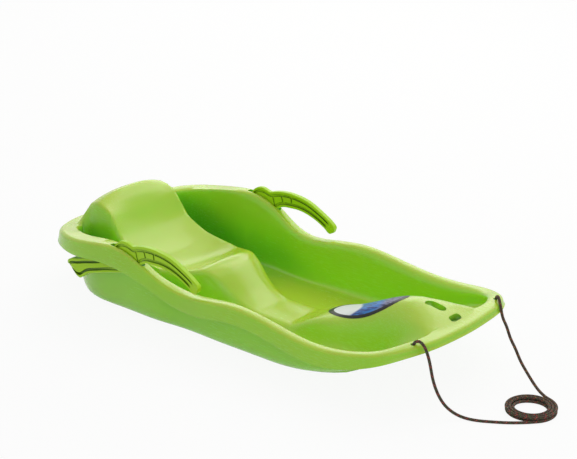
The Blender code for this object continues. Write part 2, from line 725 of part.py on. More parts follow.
def make_lever(side, look, pin_look):
    """One brake lever and the pin it turns on."""
    points = []
    for top_x, top_z, low_x, low_z, width, groove, outward in lever_stations(LEVER_STATIONS):
        up = np.array([top_x - low_x, top_z - low_z])
        height = float(np.linalg.norm(up))
        up /= height
        middle = np.array([top_x + low_x, top_z + low_z]) / 2
        right = lever_section(height, width, float(np.clip(groove, 0.0, 1.0)))
        ring = right + [(-out, rise) for out, rise in reversed(right)]
        for out, rise in ring:
            spot = middle + up * rise
            points.append((spot[0], side * (BRAKE_Y + outward + out), spot[1]))
    per_ring = 24
    faces = loft_faces(LEVER_STATIONS, per_ring)
    faces.append(tuple(range(per_ring)))
    end = len(points)
    faces.append(tuple(range(end - 1, end - per_ring - 1, -1)))
    lever = add_mesh("brake_lever_" + side_name(side), points, faces, look, sharp_deg=35)
    pivot = (BRAKE_PIVOT_X, BRAKE_PIVOT_Z)
    half = LEVER_BASE_WIDTH / 2
    middle_y = side * BRAKE_Y
    boss = prism("boss_guide_" + side_name(side), arc(pivot, 0.0072, 0, 337.5, 15),
                 middle_y - half + 0.0005, middle_y + half - 0.0005)
    combine(lever, boss, "UNION")
    for number, x in enumerate(CROSS_GROOVES):
        for face in (-1, 1):
            combine(lever, cross_groove(side, number, x, face), "DIFFERENCE")
    bore = prism("bore_guide_" + side_name(side), arc(pivot, PIN_RADIUS + CLEARANCE, 0, 345, 23),
                 middle_y - 0.02, middle_y + 0.02)
    combine(lever, bore, "DIFFERENCE")
    move_origin(lever, (BRAKE_PIVOT_X, middle_y, BRAKE_PIVOT_Z))
    half_pin = PIN_LENGTH / 2
    pin = prism("brake_pin_" + side_name(side), arc(pivot, PIN_RADIUS, 0, 345, 23),
                middle_y - half_pin, middle_y + half_pin)
    pin.data.materials.append(pin_look)
    pin.data.shade_smooth()
    pin.data.set_sharp_from_angle(angle=math.radians(40))
    move_origin(pin, (BRAKE_PIVOT_X, middle_y, BRAKE_PIVOT_Z))


def cross_groove(side, number, x, face):
    """A cutter for an upright groove that joins the two long ones, on one face of the lever."""
    rows = lever_stations(200)
    top_x, top_z, low_x, low_z, width, _, outward = rows[int(np.argmin(np.abs(rows[:, 0] - x)))]
    up = np.array([top_x - low_x, top_z - low_z])
    up /= np.linalg.norm(up)
    along = np.array([up[1], -up[0]]) * CROSS_GROOVE_WIDTH / 2
    margin = LEVER_FLANGE + LEVER_GROOVE / 2
    top = np.array([top_x, top_z]) - up * margin
    low = np.array([low_x, low_z]) + up * margin
    outline = [tuple(top + along), tuple(top - along), tuple(low - along), tuple(low + along)]
    middle_y = side * (BRAKE_Y + outward)
    near = middle_y + face * (LEVER_WEB / 2 + 0.0003)
    far = middle_y + face * (width / 2 + 0.002)
    name = f"groove_guide_{number}_{side_name(face)}_" + side_name(side)
    return prism(name, outline, *sorted((near, far)))


def make_sticker(look):
    """A thin oval sheet that lies just clear of the pad and takes its shape."""
    points, faces, normals = upper_surface()
    reach_x = STICKER_PLAN_LENGTH / 2 + 0.03
    reach_y = STICKER_WIDTH / 2 + 0.02
    chosen = []
    for face in faces:
        middle = points[list(face)].mean(axis=0)
        if abs(middle[0] - STICKER_CENTRE_X) < reach_x and abs(middle[1]) < reach_y:
            chosen.append(face)
    used = sorted({index for face in chosen for index in face})
    place = {index: number for number, index in enumerate(used)}
    low = points[used] + normals[used] * STICKER_LIFT
    high = low + normals[used] * STICKER_THICKNESS
    sheet = [tuple(place[i] for i in face) for face in chosen]
    count = len(used)
    solid = [tuple(count + i for i in face) for face in sheet]
    solid += [tuple(reversed(face)) for face in sheet]
    edges = {}
    for face in sheet:
        for a, b in zip(face, face[1:] + face[:1]):
            edges[(a, b)] = (b, a) in edges
            if (b, a) in edges:
                edges[(b, a)] = True
    for (a, b), shared in edges.items():
        if not shared:
            solid.append((a, b, count + b, count + a))
    sticker = add_mesh("front_sticker", np.vstack([low, high]), solid, look)
    angles = np.linspace(0, 2 * math.pi, STICKER_SIDES, endpoint=False)
    outline = [(STICKER_CENTRE_X + STICKER_PLAN_LENGTH / 2 * math.cos(a), STICKER_WIDTH / 2 * math.sin(a))
               for a in angles]
    combine(sticker, upright("oval_guide", outline, 0.0, 0.2), "INTERSECT")


def add_rope(name, points, resolution, look):
    """A tube along points, with filled caps."""
    data = bpy.data.curves.new(name, "CURVE")
    data.dimensions = "3D"
    data.bevel_depth = ROPE_RADIUS
    data.bevel_resolution = resolution
    data.use_fill_caps = True
    spline = data.splines.new("POLY")
    spline.points.add(len(points) - 1)
    for spot, point in zip(spline.points, points):
        spot.co = (*map(float, point), 1.0)
    add_object(name, data, look)


def coil_points():
    """The coil's centre line: in on the lower layer, out on the upper one, with straight ends."""
    total = int(round(COIL_TURNS * LOOP_POINTS))
    start = math.radians(COIL_START_DEG)
    centre = np.array([*COIL_CENTRE, 0.0])
    half = COIL_TURNS / 2
    points = []
    for step in range(total + 1):
        turn = step * COIL_TURNS / total
        angle = start + 2 * math.pi * turn
        from_end = min(turn, COIL_TURNS - turn)
        radius = COIL_OUTER_RADIUS - COIL_PITCH * from_end
        climb = np.clip((turn - half) / 0.5 + 0.5, 0, 1)
        height = ROPE_FLOOR + COIL_LAYER * climb * climb * (3 - 2 * climb)
        points.append(centre + np.array([radius * math.cos(angle), radius * math.sin(angle), height]))
    lead_in = points[0] - points[1]
    lead_in /= np.linalg.norm(lead_in)
    lead_out = points[-1] - points[-2]
    lead_out /= np.linalg.norm(lead_out)
    straight = 2 * ROPE_RADIUS
    return [points[0] + lead_in * straight] + points + [points[-1] + lead_out * straight]


def least_gap(points):
    """Least clear distance between stretches of the coil that are not neighbours."""
    spots = np.array(points)
    least = 1.0
    for i in range(len(spots)):
        for j in range(i + LOOP_POINTS // 2, len(spots) - 1):
            a = spots[j]
            b = spots[j + 1]
            t = np.clip(np.dot(spots[i] - a, b - a) / np.dot(b - a, b - a), 0, 1)
            least = min(least, float(np.linalg.norm(spots[i] - a - t * (b - a))))
    return least - 2 * ROPE_RADIUS


def run_points(route, side, coil_end, coil_next):
    """A free stretch: straight up through its hole, along the route, straight into the coil."""
    hole = np.array([ROPE_HOLE_X, side * ROPE_HOLE_Y, knot_top() + CLEARANCE])
    route = [(ROPE_HOLE_X + x, side * ROPE_HOLE_Y * y, z) for x, y, z in route]
    away = coil_end - coil_next
    away /= np.linalg.norm(away)
    face = coil_end + away * CLEARANCE
    ends = np.vstack([hole, hole + np.array([0, 0, 0.001]), np.array(route), face + away * 0.006, face])
    length = np.linalg.norm(np.diff(ends, axis=0), axis=1).sum()
    inner = smooth_curve(ends[1:-1], int(length / ARCH_STEP))
    arch = int(ARCH_LENGTH / ARCH_STEP)
    skip = int(ROPE_STEP / ARCH_STEP)
    chosen = list(range(arch)) + list(range(arch, len(inner) - skip // 2 - 1, skip)) + [len(inner) - 1]
    return np.vstack([ends[:1], inner[chosen], ends[-1:]])


def knot_top():
    """Height of a knot's flat top, just under the rim at the rope hole."""
    ring, _ = rim_columns(COLUMNS)
    near = int(np.argmin(np.hypot(ring[:, 0] - ROPE_HOLE_X, ring[:, 1] - ROPE_HOLE_Y)))
    return float(ring[near, 2]) - WALL - 0.0008


def make_knot(side, look):
    """A stopper knot with a short tail, as one turned form."""
    top = knot_top()
    profile = [(0.0040, 0.0), (0.0062, -0.0012), (KNOT_RADIUS, -0.0035), (0.0060, -0.0058),
               (KNOT_RADIUS, -0.0080), (0.0054, -0.0098), (ROPE_RADIUS, -KNOT_HEIGHT),
               (ROPE_RADIUS, -KNOT_HEIGHT - KNOT_TAIL)]
    around = 12
    points = []
    for radius, down in profile:
        for step in range(around):
            angle = 2 * math.pi * step / around
            points.append((ROPE_HOLE_X + radius * math.cos(angle),
                           side * ROPE_HOLE_Y + radius * math.sin(angle), top + down))
    faces = loft_faces(len(profile), around)
    faces.append(tuple(range(around)))
    end = len(points)
    faces.append(tuple(range(end - 1, end - around - 1, -1)))
    add_mesh("tow_rope_knot_" + side_name(side), points, faces, look, sharp_deg=60)


def make_rope(look):
    """The tow rope: two free stretches, the coil between them and the two knots."""
    coil = coil_points()
    print(f"coil: least gap to itself {least_gap(coil) * 1000:.2f} mm")
    add_rope("tow_rope_coil", coil, 1, look)
    right = run_points(RIGHT_ROUTE, -1, coil[0], coil[1])
    left = run_points(LEFT_ROUTE, 1, coil[-1], coil[-2])
    add_rope("tow_rope_right_run", right, 2, look)
    add_rope("tow_rope_left_run", left, 2, look)
    for side in (-1, 1):
        make_knot(side, look)


def main():
    clear_scene()
    hull_look = material("hull_plastic", HULL_COLOUR, 0.35)
    lever_look = material("lever_plastic", LEVER_COLOUR, 0.4)
    steel_look = material("pin_steel", STEEL_COLOUR, 0.3, metallic=1.0)
    rope_look = material("rope", ROPE_COLOUR, 0.85)
    sticker_look = material("sticker_film", STICKER_COLOUR, 0.3)
    make_hull(hull_look)
    for side in (-1, 1):
        make_lever(side, lever_look, steel_look)
    make_sticker(sticker_look)
    make_rope(rope_look)


main()
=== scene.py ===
"""Look of the plastic sled: finer tub, levers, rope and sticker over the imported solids.

Front is +X, left is +Y, up is +Z, all in metres, as in the solids.
"""
import math
from functools import partial

import bmesh
import bpy
import numpy as np
from mathutils import Matrix, Vector
from mathutils.bvhtree import BVHTree


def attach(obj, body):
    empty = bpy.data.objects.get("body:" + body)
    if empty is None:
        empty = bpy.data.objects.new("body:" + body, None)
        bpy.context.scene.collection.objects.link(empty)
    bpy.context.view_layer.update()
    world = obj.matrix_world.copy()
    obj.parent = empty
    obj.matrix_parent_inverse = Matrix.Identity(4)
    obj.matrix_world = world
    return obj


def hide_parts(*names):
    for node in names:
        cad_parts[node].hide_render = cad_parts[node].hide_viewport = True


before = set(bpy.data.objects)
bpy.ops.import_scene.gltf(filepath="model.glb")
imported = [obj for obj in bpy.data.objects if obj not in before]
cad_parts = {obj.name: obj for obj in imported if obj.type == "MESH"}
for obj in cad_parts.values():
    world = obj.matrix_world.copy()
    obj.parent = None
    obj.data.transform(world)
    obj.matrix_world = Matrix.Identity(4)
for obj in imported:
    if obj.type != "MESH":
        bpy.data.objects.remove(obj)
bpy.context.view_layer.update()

# Moulding
WALL = 0.003
CLEARANCE = 0.0003
COLUMNS = 104
FINE_COLUMNS = 300
CURVE_STEPS = 24

# Narrower faces are taken out after the booleans, and edges over these angles stay sharp
SLIVER = 1e-6
HULL_SHARP_DEG = 42
LEVER_SHARP_DEG = 35
STICKER_SHARP_DEG = 40
ROPE_SHARP_DEG = 60

# Rim of the tub, rear centre to nose centre along the left side. Each row is the outer top edge
# x, y, z, then the width of the flat top, the depth of the skirt and how far in the wall's foot is.
RIM = (
    (-0.4345, 0.0, 0.1012, 0.026, 0.0222, 0.053),
    (-0.4315, 0.055, 0.1032, 0.026, 0.0222, 0.052),
    (-0.4095, 0.108, 0.1102, 0.028, 0.0222, 0.05),
    (-0.36, 0.163, 0.1232, 0.034, 0.0232, 0.046),
    (-0.2895, 0.191, 0.1322, 0.035, 0.0282, 0.042),
    (-0.2135, 0.1932, 0.1427, 0.029, 0.0332, 0.041),
    (-0.1755, 0.1924, 0.1426, 0.024, 0.0362, 0.04),
    (-0.1395, 0.1905, 0.1312, 0.021, 0.0332, 0.038),
    (-0.1055, 0.1872, 0.1132, 0.019, 0.0272, 0.037),
    (-0.0705, 0.183, 0.0982, 0.021, 0.0262, 0.036),
    (-0.0325, 0.182, 0.0922, 0.022, 0.0272, 0.036),
    (0.0055, 0.184, 0.0952, 0.022, 0.0292, 0.037),
    (0.0805, 0.1845, 0.1042, 0.018, 0.0282, 0.038),
    (0.157, 0.1845, 0.0982, 0.016, 0.0272, 0.038),
    (0.2325, 0.187, 0.0882, 0.016, 0.0282, 0.038),
    (0.3085, 0.185, 0.0902, 0.016, 0.0262, 0.038),
    (0.3455, 0.179, 0.0957, 0.016, 0.0222, 0.037),
    (0.3795, 0.165, 0.1018, 0.017, 0.017, 0.036),
    (0.4065, 0.14, 0.1092, 0.019, 0.0135, 0.035),
    (0.4245, 0.105, 0.113, 0.021, 0.012, 0.034),
    (0.4323, 0.05, 0.1132, 0.021, 0.0118, 0.034),
    (0.4345, 0.0, 0.1132, 0.021, 0.0118, 0.034),
)
RIM_OUTER_RADIUS = 0.008
RIM_EDGE_INSET = 0.0025
SKIRT_FLARE = 0.003
SKIRT_BULGE = 0.35

# Wall: how far its bend reaches into the flat top, the rise of its foot over the rim that makes
# its curve straight, and how much it leans out in the middle
WALL_BEND = 0.004
WALL_STRAIGHT = 0.005
WALL_LEAN = 0.16
NORMAL_PASSES = 18

# Floor of the tub: flat, then a parabola up to the nose
FLOOR_TOP = 0.0115
FLOOR_RISE = 1.2
FLOOR_RISE_START = 0.13
SPINE_REAR = -0.335
SPINE_FRONT = 0.35
SPINE_EVEN = 0.14

# What stands up from the floor, rear to front: x, height on the centre line, height at its edge,
# half width to that edge, and the run of its side down to the floor.
SEAT = (
    (-0.405, 0.108, 0.102, 0.07, 0.035), (-0.39, 0.14, 0.122, 0.074, 0.035),
    (-0.375, 0.157, 0.145, 0.077, 0.035), (-0.358, 0.167, 0.1545, 0.08, 0.034),
    (-0.343, 0.172, 0.1585, 0.082, 0.032), (-0.328, 0.161, 0.156, 0.083, 0.03),
    (-0.312, 0.141, 0.148, 0.084, 0.028), (-0.297, 0.118, 0.13, 0.085, 0.027),
    (-0.28, 0.098, 0.1065, 0.086, 0.026), (-0.255, 0.078, 0.0885, 0.088, 0.026),
    (-0.22, 0.064, 0.0765, 0.088, 0.027), (-0.18, 0.058, 0.0725, 0.086, 0.029),
    (-0.15, 0.062, 0.073, 0.079, 0.032), (-0.12, 0.0765, 0.079, 0.068, 0.038),
    (-0.092, 0.09, 0.084, 0.06, 0.042), (-0.07, 0.0855, 0.075, 0.055, 0.04),
    (-0.045, 0.066, 0.0545, 0.049, 0.034), (-0.015, 0.0415, 0.035, 0.043, 0.026),
    (0.02, 0.027, 0.0255, 0.04, 0.02), (0.085, 0.0262, 0.025, 0.04, 0.02),
    (0.108, 0.0355, 0.0335, 0.04, 0.024), (0.13, 0.0485, 0.045, 0.04, 0.028),
    (0.16, 0.062, 0.056, 0.04, 0.034), (0.19, 0.0725, 0.0635, 0.04, 0.04),
    (0.22, 0.0855, 0.071, 0.04, 0.046), (0.25, 0.1003, 0.08, 0.04, 0.052),
    (0.28, 0.1147, 0.09, 0.04, 0.056), (0.31, 0.1255, 0.099, 0.042, 0.056),
    (0.335, 0.1295, 0.108, 0.044, 0.054), (0.358, 0.1295, 0.114, 0.047, 0.05),
    (0.382, 0.1262, 0.1155, 0.052, 0.046), (0.405, 0.1195, 0.113, 0.06, 0.04),
)
CROWN_POWER = 2.4

# Runners under the floor
RUNNER_Y = 0.128
RUNNER_WIDTH = 0.012
RUNNER_DEPTH = FLOOR_TOP - WALL
RUNNER_REAR = -0.285
RUNNER_FRONT = 0.335
RUNNER_REAR_RAMP = 0.02
RUNNER_FRONT_RAMP = 0.05
RUNNER_TAPER = 0.0015
RUNNER_STATIONS = 26

# Blind dimples in the pad: centre x, size along x, size along y
DIMPLE_LONG = (0.3685, 0.04, 0.017)
DIMPLE_CROSS = (0.408, 0.012, 0.027)
DIMPLE_DEPTH = 0.0095
DIMPLE_SHOULDER = 0.45
DIMPLE_FLOOR = 0.72

# Heights between which the cutters of the brake slots and rope holes reach
CUT_LOW = 0.095
SLOT_CUT_TOP = 0.17
HOLE_CUT_TOP = 0.125
DIMPLE_CUT_LIFT = 0.008

# Brake levers
BRAKE_Y = 0.1828
BRAKE_PIVOT_X = -0.168
BRAKE_PIVOT_Z = 0.122
LEVER_BASE_WIDTH = 0.0088
LEVER_WEB = 0.004
LEVER_FLANGE = 0.0048
LEVER_GROOVE = 0.0052
LEVER_CHAMFER = 0.0012
LEVER_FACE_SET = 0.0009
LEVER_SLANT = 0.0005
BOSS_RADIUS = 0.0072
BOSS_SET = 0.0005
PIN_RADIUS = 0.003
HOOK_THICKNESS = 0.0024
HOOK_WALL = 0.0048
HOOK_NECK = 0.0048
HOOK_MOUTH = 0.86
HOOK_MOUTH_DEG = 28
HOOK_CLEARANCE = CLEARANCE * 1.25
LEVER_SIDE_GAP = 0.0007
SLOT_REAR_X = -0.2055
SLOT_FRONT_X = -0.1235

# Lever side view, handle tip to claw tip: top point x, z, bottom point x, z, width, groove share
# and how far it is set outward
LEVER = (
    (0.0081, 0.1117, 0.0055, 0.1082, 0.007, 0, 0.0008),
    (0.0094, 0.1156, 0.002, 0.1059, 0.009, 0, 0.0008),
    (0.0092, 0.1197, -0.002, 0.1051, 0.0098, 0, 0.0008),
    (0.0075, 0.1226, -0.0053, 0.106, 0.01, 0, 0.0008),
    (0.0035, 0.1259, -0.0094, 0.109, 0.01, 0, 0.0008),
    (-0.001, 0.1295, -0.014, 0.1126, 0.01, 0.5, 0.0008),
    (-0.007, 0.1331, -0.019, 0.1155, 0.01, 1, 0.0008),
    (-0.018, 0.1392, -0.0275, 0.12, 0.01, 1, 0.0008),
    (-0.03, 0.1453, -0.0375, 0.1244, 0.01, 1, 0.0008),
    (-0.042, 0.1512, -0.048, 0.128, 0.01, 1, 0.0008),
    (-0.0545, 0.1559, -0.059, 0.131, 0.01, 1, 0.0008),
    (-0.0665, 0.1588, -0.069, 0.1328, 0.01, 1, 0.0008),
    (-0.0788, 0.1607, -0.079, 0.1336, 0.01, 1, 0.0008),
    (-0.0912, 0.1617, -0.089, 0.1334, 0.01, 1, 0.0008),
    (-0.1035, 0.1619, -0.099, 0.1327, 0.01, 1, 0.0008),
    (-0.1165, 0.1609, -0.109, 0.132, 0.0098, 1, 0.0006),
    (-0.1284, 0.159, -0.1185, 0.1296, 0.0094, 1, 0.0003),
    (-0.1395, 0.156, -0.1295, 0.1235, 0.0088, 1, 0),
    (-0.1485, 0.1538, -0.14, 0.1145, 0.0088, 1, 0),
    (-0.156, 0.1556, -0.15, 0.106, 0.0088, 1, 0),
    (-0.164, 0.1578, -0.161, 0.0995, 0.0088, 1, 0),
    (-0.1735, 0.1576, -0.171, 0.097, 0.0088, 1, 0),
    (-0.183, 0.154, -0.18, 0.0955, 0.0088, 1, 0),
    (-0.191, 0.1472, -0.188, 0.0935, 0.0088, 1, 0),
    (-0.1975, 0.137, -0.196, 0.0912, 0.0088, 1, 0),
    (-0.205, 0.127, -0.203, 0.0895, 0.0092, 1, 0),
    (-0.219, 0.1175, -0.216, 0.0864, 0.011, 1, 0),
    (-0.247, 0.1065, -0.245, 0.078, 0.0135, 1, 0),
    (-0.276, 0.099, -0.27, 0.068, 0.0145, 1, 0),
    (-0.293, 0.094, -0.283, 0.059, 0.015, 1, 0),
    (-0.308, 0.09, -0.29, 0.06, 0.0148, 1, 0),
    (-0.3165, 0.0845, -0.2985, 0.065, 0.0125, 0.9, 0),
    (-0.3195, 0.0795, -0.3055, 0.069, 0.008, 0.6, 0),
)
FINE_STATIONS = 120
CROSS_GROOVES = (-0.143, -0.122, -0.096)
CROSS_GROOVE_WIDTH = 0.0034
CROSS_GROOVE_SET = 0.0003
CROSS_GROOVE_CLEAR = 0.002
BORE_REACH = 0.02

# Sticker on the ramp of the pad
STICKER_CENTRE_X = 0.23
STICKER_PLAN_LENGTH = 0.164
STICKER_WIDTH = 0.0755
STICKER_THICKNESS = 0.0003
STICKER_GAP = 0.00004
STICKER_MARGIN_X = 0.02
STICKER_MARGIN_Y = 0.012

# Rope
ROPE_RADIUS = 0.0025
ROPE_HOLE_X = 0.4095
ROPE_HOLE_Y = 0.117
ROPE_HOLE_RADIUS = 0.0045
KNOT_RADIUS = 0.0068
KNOT_HEIGHT = 0.0105
KNOT_GAP = 0.0008
COIL_CENTRE = (0.562, -0.004)
COIL_OUTER_RADIUS = 0.042
COIL_PITCH = 0.0055
COIL_LAYER = 0.0055
COIL_START_DEG = -45.0
COIL_TURNS = 5 + 120.0 / 360.0
ROPE_FLOOR = ROPE_RADIUS + 0.0002
HOLE_STRAIGHT = 0.001
COIL_STRAIGHT = 0.006
ROUTE_STEP = 0.003

# Route of each free stretch, hole to coil, between its straight ends
RIGHT_ROUTE = (
    (0.4115, -0.117, 0.1145), (0.4159, -0.117, 0.1187), (0.421, -0.117, 0.1202),
    (0.4263, -0.117, 0.1188), (0.4311, -0.117, 0.1148), (0.4365, -0.1171, 0.1063),
    (0.4421, -0.1172, 0.0922), (0.4501, -0.117, 0.0622), (0.4565, -0.1165, 0.0464),
    (0.464, -0.1145, 0.0322), (0.4711, -0.1115, 0.022), (0.4795, -0.107, 0.0135),
    (0.4929, -0.1005, 0.006), (0.508, -0.0935, ROPE_FLOOR), (0.5227, -0.0878, ROPE_FLOOR),
    (0.5362, -0.08, ROPE_FLOOR), (0.551, -0.0705, ROPE_FLOOR), (0.5685, -0.0572, ROPE_FLOOR),
)
LEFT_ROUTE = (
    (0.4108, 0.1159, 0.1145), (0.4143, 0.1131, 0.1188), (0.4184, 0.1098, 0.1202),
    (0.4226, 0.1064, 0.1188), (0.4263, 0.1034, 0.115), (0.4315, 0.0996, 0.107),
    (0.44, 0.0942, 0.093), (0.45, 0.0895, 0.084), (0.4613, 0.085, 0.0682),
    (0.4752, 0.08, 0.0544), (0.4908, 0.0725, 0.04), (0.51, 0.064, 0.027),
    (0.529, 0.0555, 0.0165), (0.548, 0.0465, 0.01),
)

# The rope's finer form: its rings and sides, its strands and the turns of its knots
ROPE_RINGS_STEP = 0.0016
ROPE_SIDES = 18
STRANDS = 6
STRAND_PITCH = 0.0026
KNOT_TURNS = 2.1
KNOT_STRAND = ROPE_RADIUS * 0.94

# Hollows of the tub, which set its painted shade: how far off its own surface closes a point in,
# the rays that look, the smallest cosine that counts, where they start and the passes that even
# out the result
OPEN_REACH = 0.09
OPEN_RAYS = 56
OPEN_LEAST = 0.06
OPEN_START = 0.0005
OPEN_PASSES = 5

# Camera, at the photograph's angle
CAMERA_AZIMUTH_DEG = 40.4
CAMERA_ELEVATION_DEG = 21.4
CAMERA_DISTANCE = 2.9
CAMERA_LENS = 103.58
CAMERA_AIM = (0.0511, 0.0, 0.181)

# Studio: light of the world, what the floor adds of its own where it is seen, and the lamps
# as name, place, size and power, all turned to LAMP_AIM
WORLD_LEVEL = 0.42
FLOOR_GLOW = 0.92
LAMP_COLOUR = (1.0, 0.98, 0.95)
LAMP_AIM = (0.05, 0.0, 0.08)
LAMPS = (
    ("key", (-0.2, 0.9, 2.3), (2.4, 2.4), 12.0),
    ("far", (0.0, 1.9, 1.95), (2.2, 1.5), 17.0),
    ("back", (-1.7, 2.1, 1.15), (2.2, 1.2), 12.0),
    ("front", (1.9, -1.4, 1.5), (1.6, 1.6), 6.0),
)


def add_object(name, data):
    """Link data into the scene as one object."""
    item = bpy.data.objects.new(name, data)
    bpy.context.scene.collection.objects.link(item)
    return item


def turn_to(item, place, turned):
    """Put a camera or lamp at its place, turned by a quaternion."""
    item.location = place
    item.rotation_mode = "QUATERNION"
    item.rotation_quaternion = turned


def face_out(mesh):
    """Point every face of a closed mesh out."""
    sheet = bmesh.new()
    sheet.from_mesh(mesh)
    bmesh.ops.recalc_face_normals(sheet, faces=sheet.faces)
    sheet.to_mesh(mesh)
    sheet.free()


def new_mesh(name, points, faces):
    """Mesh data from points and faces."""
    mesh = bpy.data.meshes.new(name)
    mesh.from_pydata([tuple(map(float, p)) for p in points], [], faces)
    return mesh


def add_mesh(name, points, faces):
    """Make one closed mesh object, with its faces pointing out."""
    mesh = new_mesh(name, points, faces)
    face_out(mesh)
    return add_object(name, mesh)


def loft_faces(rows, columns):
    """Quads between successive rows of points, each row closed on itself."""
    faces = []
    for row in range(rows - 1):
        for column in range(columns):
            right = (column + 1) % columns
            low = row * columns
            high = low + columns
            faces.append((low + column, low + right, high + right, high + column))
    return faces


def capped_loft(rows, columns):
    """The faces of a loft with a cap at either end."""
    end = rows * columns
    caps = [tuple(range(columns)), tuple(range(end - 1, end - columns - 1, -1))]
    return loft_faces(rows, columns) + caps


def unit(ways):
    """One vector or many, brought to length 1."""
    return ways / np.linalg.norm(ways, axis=-1, keepdims=True)


def steps_along(line):
    """Length of each step between the points of a line."""
    return np.linalg.norm(np.diff(line, axis=0), axis=1)


def run_along(line):
    """Length along a line to each of its points."""
    return np.concatenate([[0.0], np.cumsum(steps_along(line))])


def steady(rows, where):
    """Read each value column of rows at where, with no overshoot between the rows.

    The first value in a row is its place. The others are joined by cubic pieces whose
    slopes never carry them past a neighbouring row.
    """
    table = np.array(rows, dtype=float)
    place = table[:, 0]
    values = table[:, 1:]
    gaps = np.diff(place)
    rise = np.diff(values, axis=0) / gaps[:, None]
    same_way = rise[:-1] * rise[1:] > 0
    weight_a = (2 * gaps[1:] + gaps[:-1])[:, None]
    weight_b = (gaps[1:] + 2 * gaps[:-1])[:, None]
    safe_a = np.where(same_way, rise[:-1], 1.0)
    safe_b = np.where(same_way, rise[1:], 1.0)
    mean = (weight_a + weight_b) / (weight_a / safe_a + weight_b / safe_b)
    slopes = np.vstack([rise[:1], np.where(same_way, mean, 0.0), rise[-1:]])
    where = np.clip(np.asarray(where, dtype=float), place[0], place[-1])
    piece = np.clip(np.searchsorted(place, where, side="right") - 1, 0, len(gaps) - 1)
    step = gaps[piece][..., None]
    t = (where - place[piece])[..., None] / step
    low = values[piece]
    high = values[piece + 1]
    return (low * (1 + 2 * t) * (1 - t) ** 2 + slopes[piece] * step * t * (1 - t) ** 2
            + high * t * t * (3 - 2 * t) - slopes[piece + 1] * step * t * t * (1 - t))


def even_steps(line, samples, closed=False):
    """Read a line at even steps of its length."""
    run = run_along(line[:, :3])
    stops = np.linspace(0, run[-1], samples, endpoint=not closed)
    return np.stack([np.interp(stops, run, column) for column in line.T], axis=1)


def smooth_curve(points, samples, closed=False):
    """Sample a smooth curve through points at even steps of its length."""
    knots = np.array(points, dtype=float)
    if closed:
        knots = np.vstack([knots[-3:], knots, knots[:4]])
    lengths = steps_along(knots[:, :3])
    count = len(knots)
    system = np.eye(count)
    right = np.zeros_like(knots)
    for i in range(1, count - 1):
        before, after = lengths[i - 1:i + 1]
        system[i, i - 1:i + 2] = before, 2 * (before + after), after
        right[i] = 6 * ((knots[i + 1] - knots[i]) / after - (knots[i] - knots[i - 1]) / before)
    bend = np.linalg.solve(system, right)
    first, last = (3, count - 4) if closed else (0, count - 1)
    fine = []
    for i in range(first, last):
        h = lengths[i]
        for t in np.linspace(0, 1, CURVE_STEPS, endpoint=False):
            a = 1 - t
            fine.append(a * knots[i] + t * knots[i + 1]
                        + h * h / 6 * ((a ** 3 - a) * bend[i] + (t ** 3 - t) * bend[i + 1]))
    return even_steps(np.array(fine + [knots[last]]), samples, closed)


def floor_height(x):
    """Height of the tub's floor."""
    return FLOOR_TOP + FLOOR_RISE * np.maximum(0.0, x - FLOOR_RISE_START) ** 2


def inside_height(x, y):
    """Height of the tub's inside: floor, backrest, seat, bolster, tongue and pad."""
    centre, edge, half, side = np.moveaxis(steady(SEAT, x), -1, 0)
    out = np.abs(y)
    top = centre + (edge - centre) * (out / half) ** CROWN_POWER
    t = np.clip((out - half) / side, 0.0, 1.0)
    fall = t * t * (3 - 2 * t)
    return top * (1 - fall) + floor_height(x) * fall


def rim_columns(count):
    """Stations round the rim, anticlockwise from the rear: RIM's values, and the way out."""
    half = np.array(RIM)
    mirror = (1, -1, 1, 1, 1, 1)
    ring = smooth_curve(np.vstack([half, half[-2:0:-1] * mirror]), count, closed=True)
    ring = (ring + np.roll(ring[::-1], 1, axis=0) * mirror) / 2
    along = unit(np.roll(ring, -1, axis=0)[:, :2] - np.roll(ring, 1, axis=0)[:, :2])
    return ring, np.stack([-along[:, 1], along[:, 0]], axis=1)


def hull_rows(count, wall_steps, inner_steps, arc_steps):
    """Rows of the tub's upper surface, from the skirt's lower edge to the spine."""
    ring, outward = rim_columns(count)
    place = ring[:, :2]
    top, width, skirt, foot = ring[:, 2:].T
    rows = []

    def add(inset, height):
        rows.append(np.column_stack([place - outward * np.reshape(inset, (-1, 1)), height]))

    outer = -RIM_EDGE_INSET
    add(outer - SKIRT_FLARE, top - skirt)
    add(outer - SKIRT_FLARE * SKIRT_BULGE, top - (skirt + RIM_OUTER_RADIUS) / 2)
    for step in range(arc_steps + 1):
        angle = math.pi / 2 * step / arc_steps
        add(outer + RIM_OUTER_RADIUS * (1 - math.cos(angle)),
            top - RIM_OUTER_RADIUS * (1 - math.sin(angle)))
    foot_spot = place - outward * foot[:, None]
    foot_x, foot_y = foot_spot.T
    drop = top - inside_height(foot_x, foot_y)
    start = width - WALL_BEND
    straight = np.clip(-drop / WALL_STRAIGHT, 0.0, 1.0)
    for step in range(wall_steps + 1):
        t = step / wall_steps
        across = t + WALL_LEAN * math.sin(2 * math.pi * t)
        down = t * t * (3 - 2 * t)
        down = down + (across - down) * straight
        add(start + (foot - start) * across, top - drop * down)
    spine_map = (SPINE_FRONT - SPINE_REAR) / (foot_x.max() - foot_x.min())
    spine_x = SPINE_REAR + (foot_x - foot_x.min()) * spine_map
    side = np.abs(np.arange(count) - count / 2) / (count / 2)
    even = SPINE_FRONT + (SPINE_REAR - SPINE_FRONT) * side
    spine_x = (1 - SPINE_EVEN) * spine_x + SPINE_EVEN * even
    for step in range(1, inner_steps + 1):
        t = step / inner_steps
        x = foot_x * (1 - t) + spine_x * t
        y = foot_y * (1 - t)
        rows.append(np.column_stack([x, y, inside_height(x, y)]))
    return rows


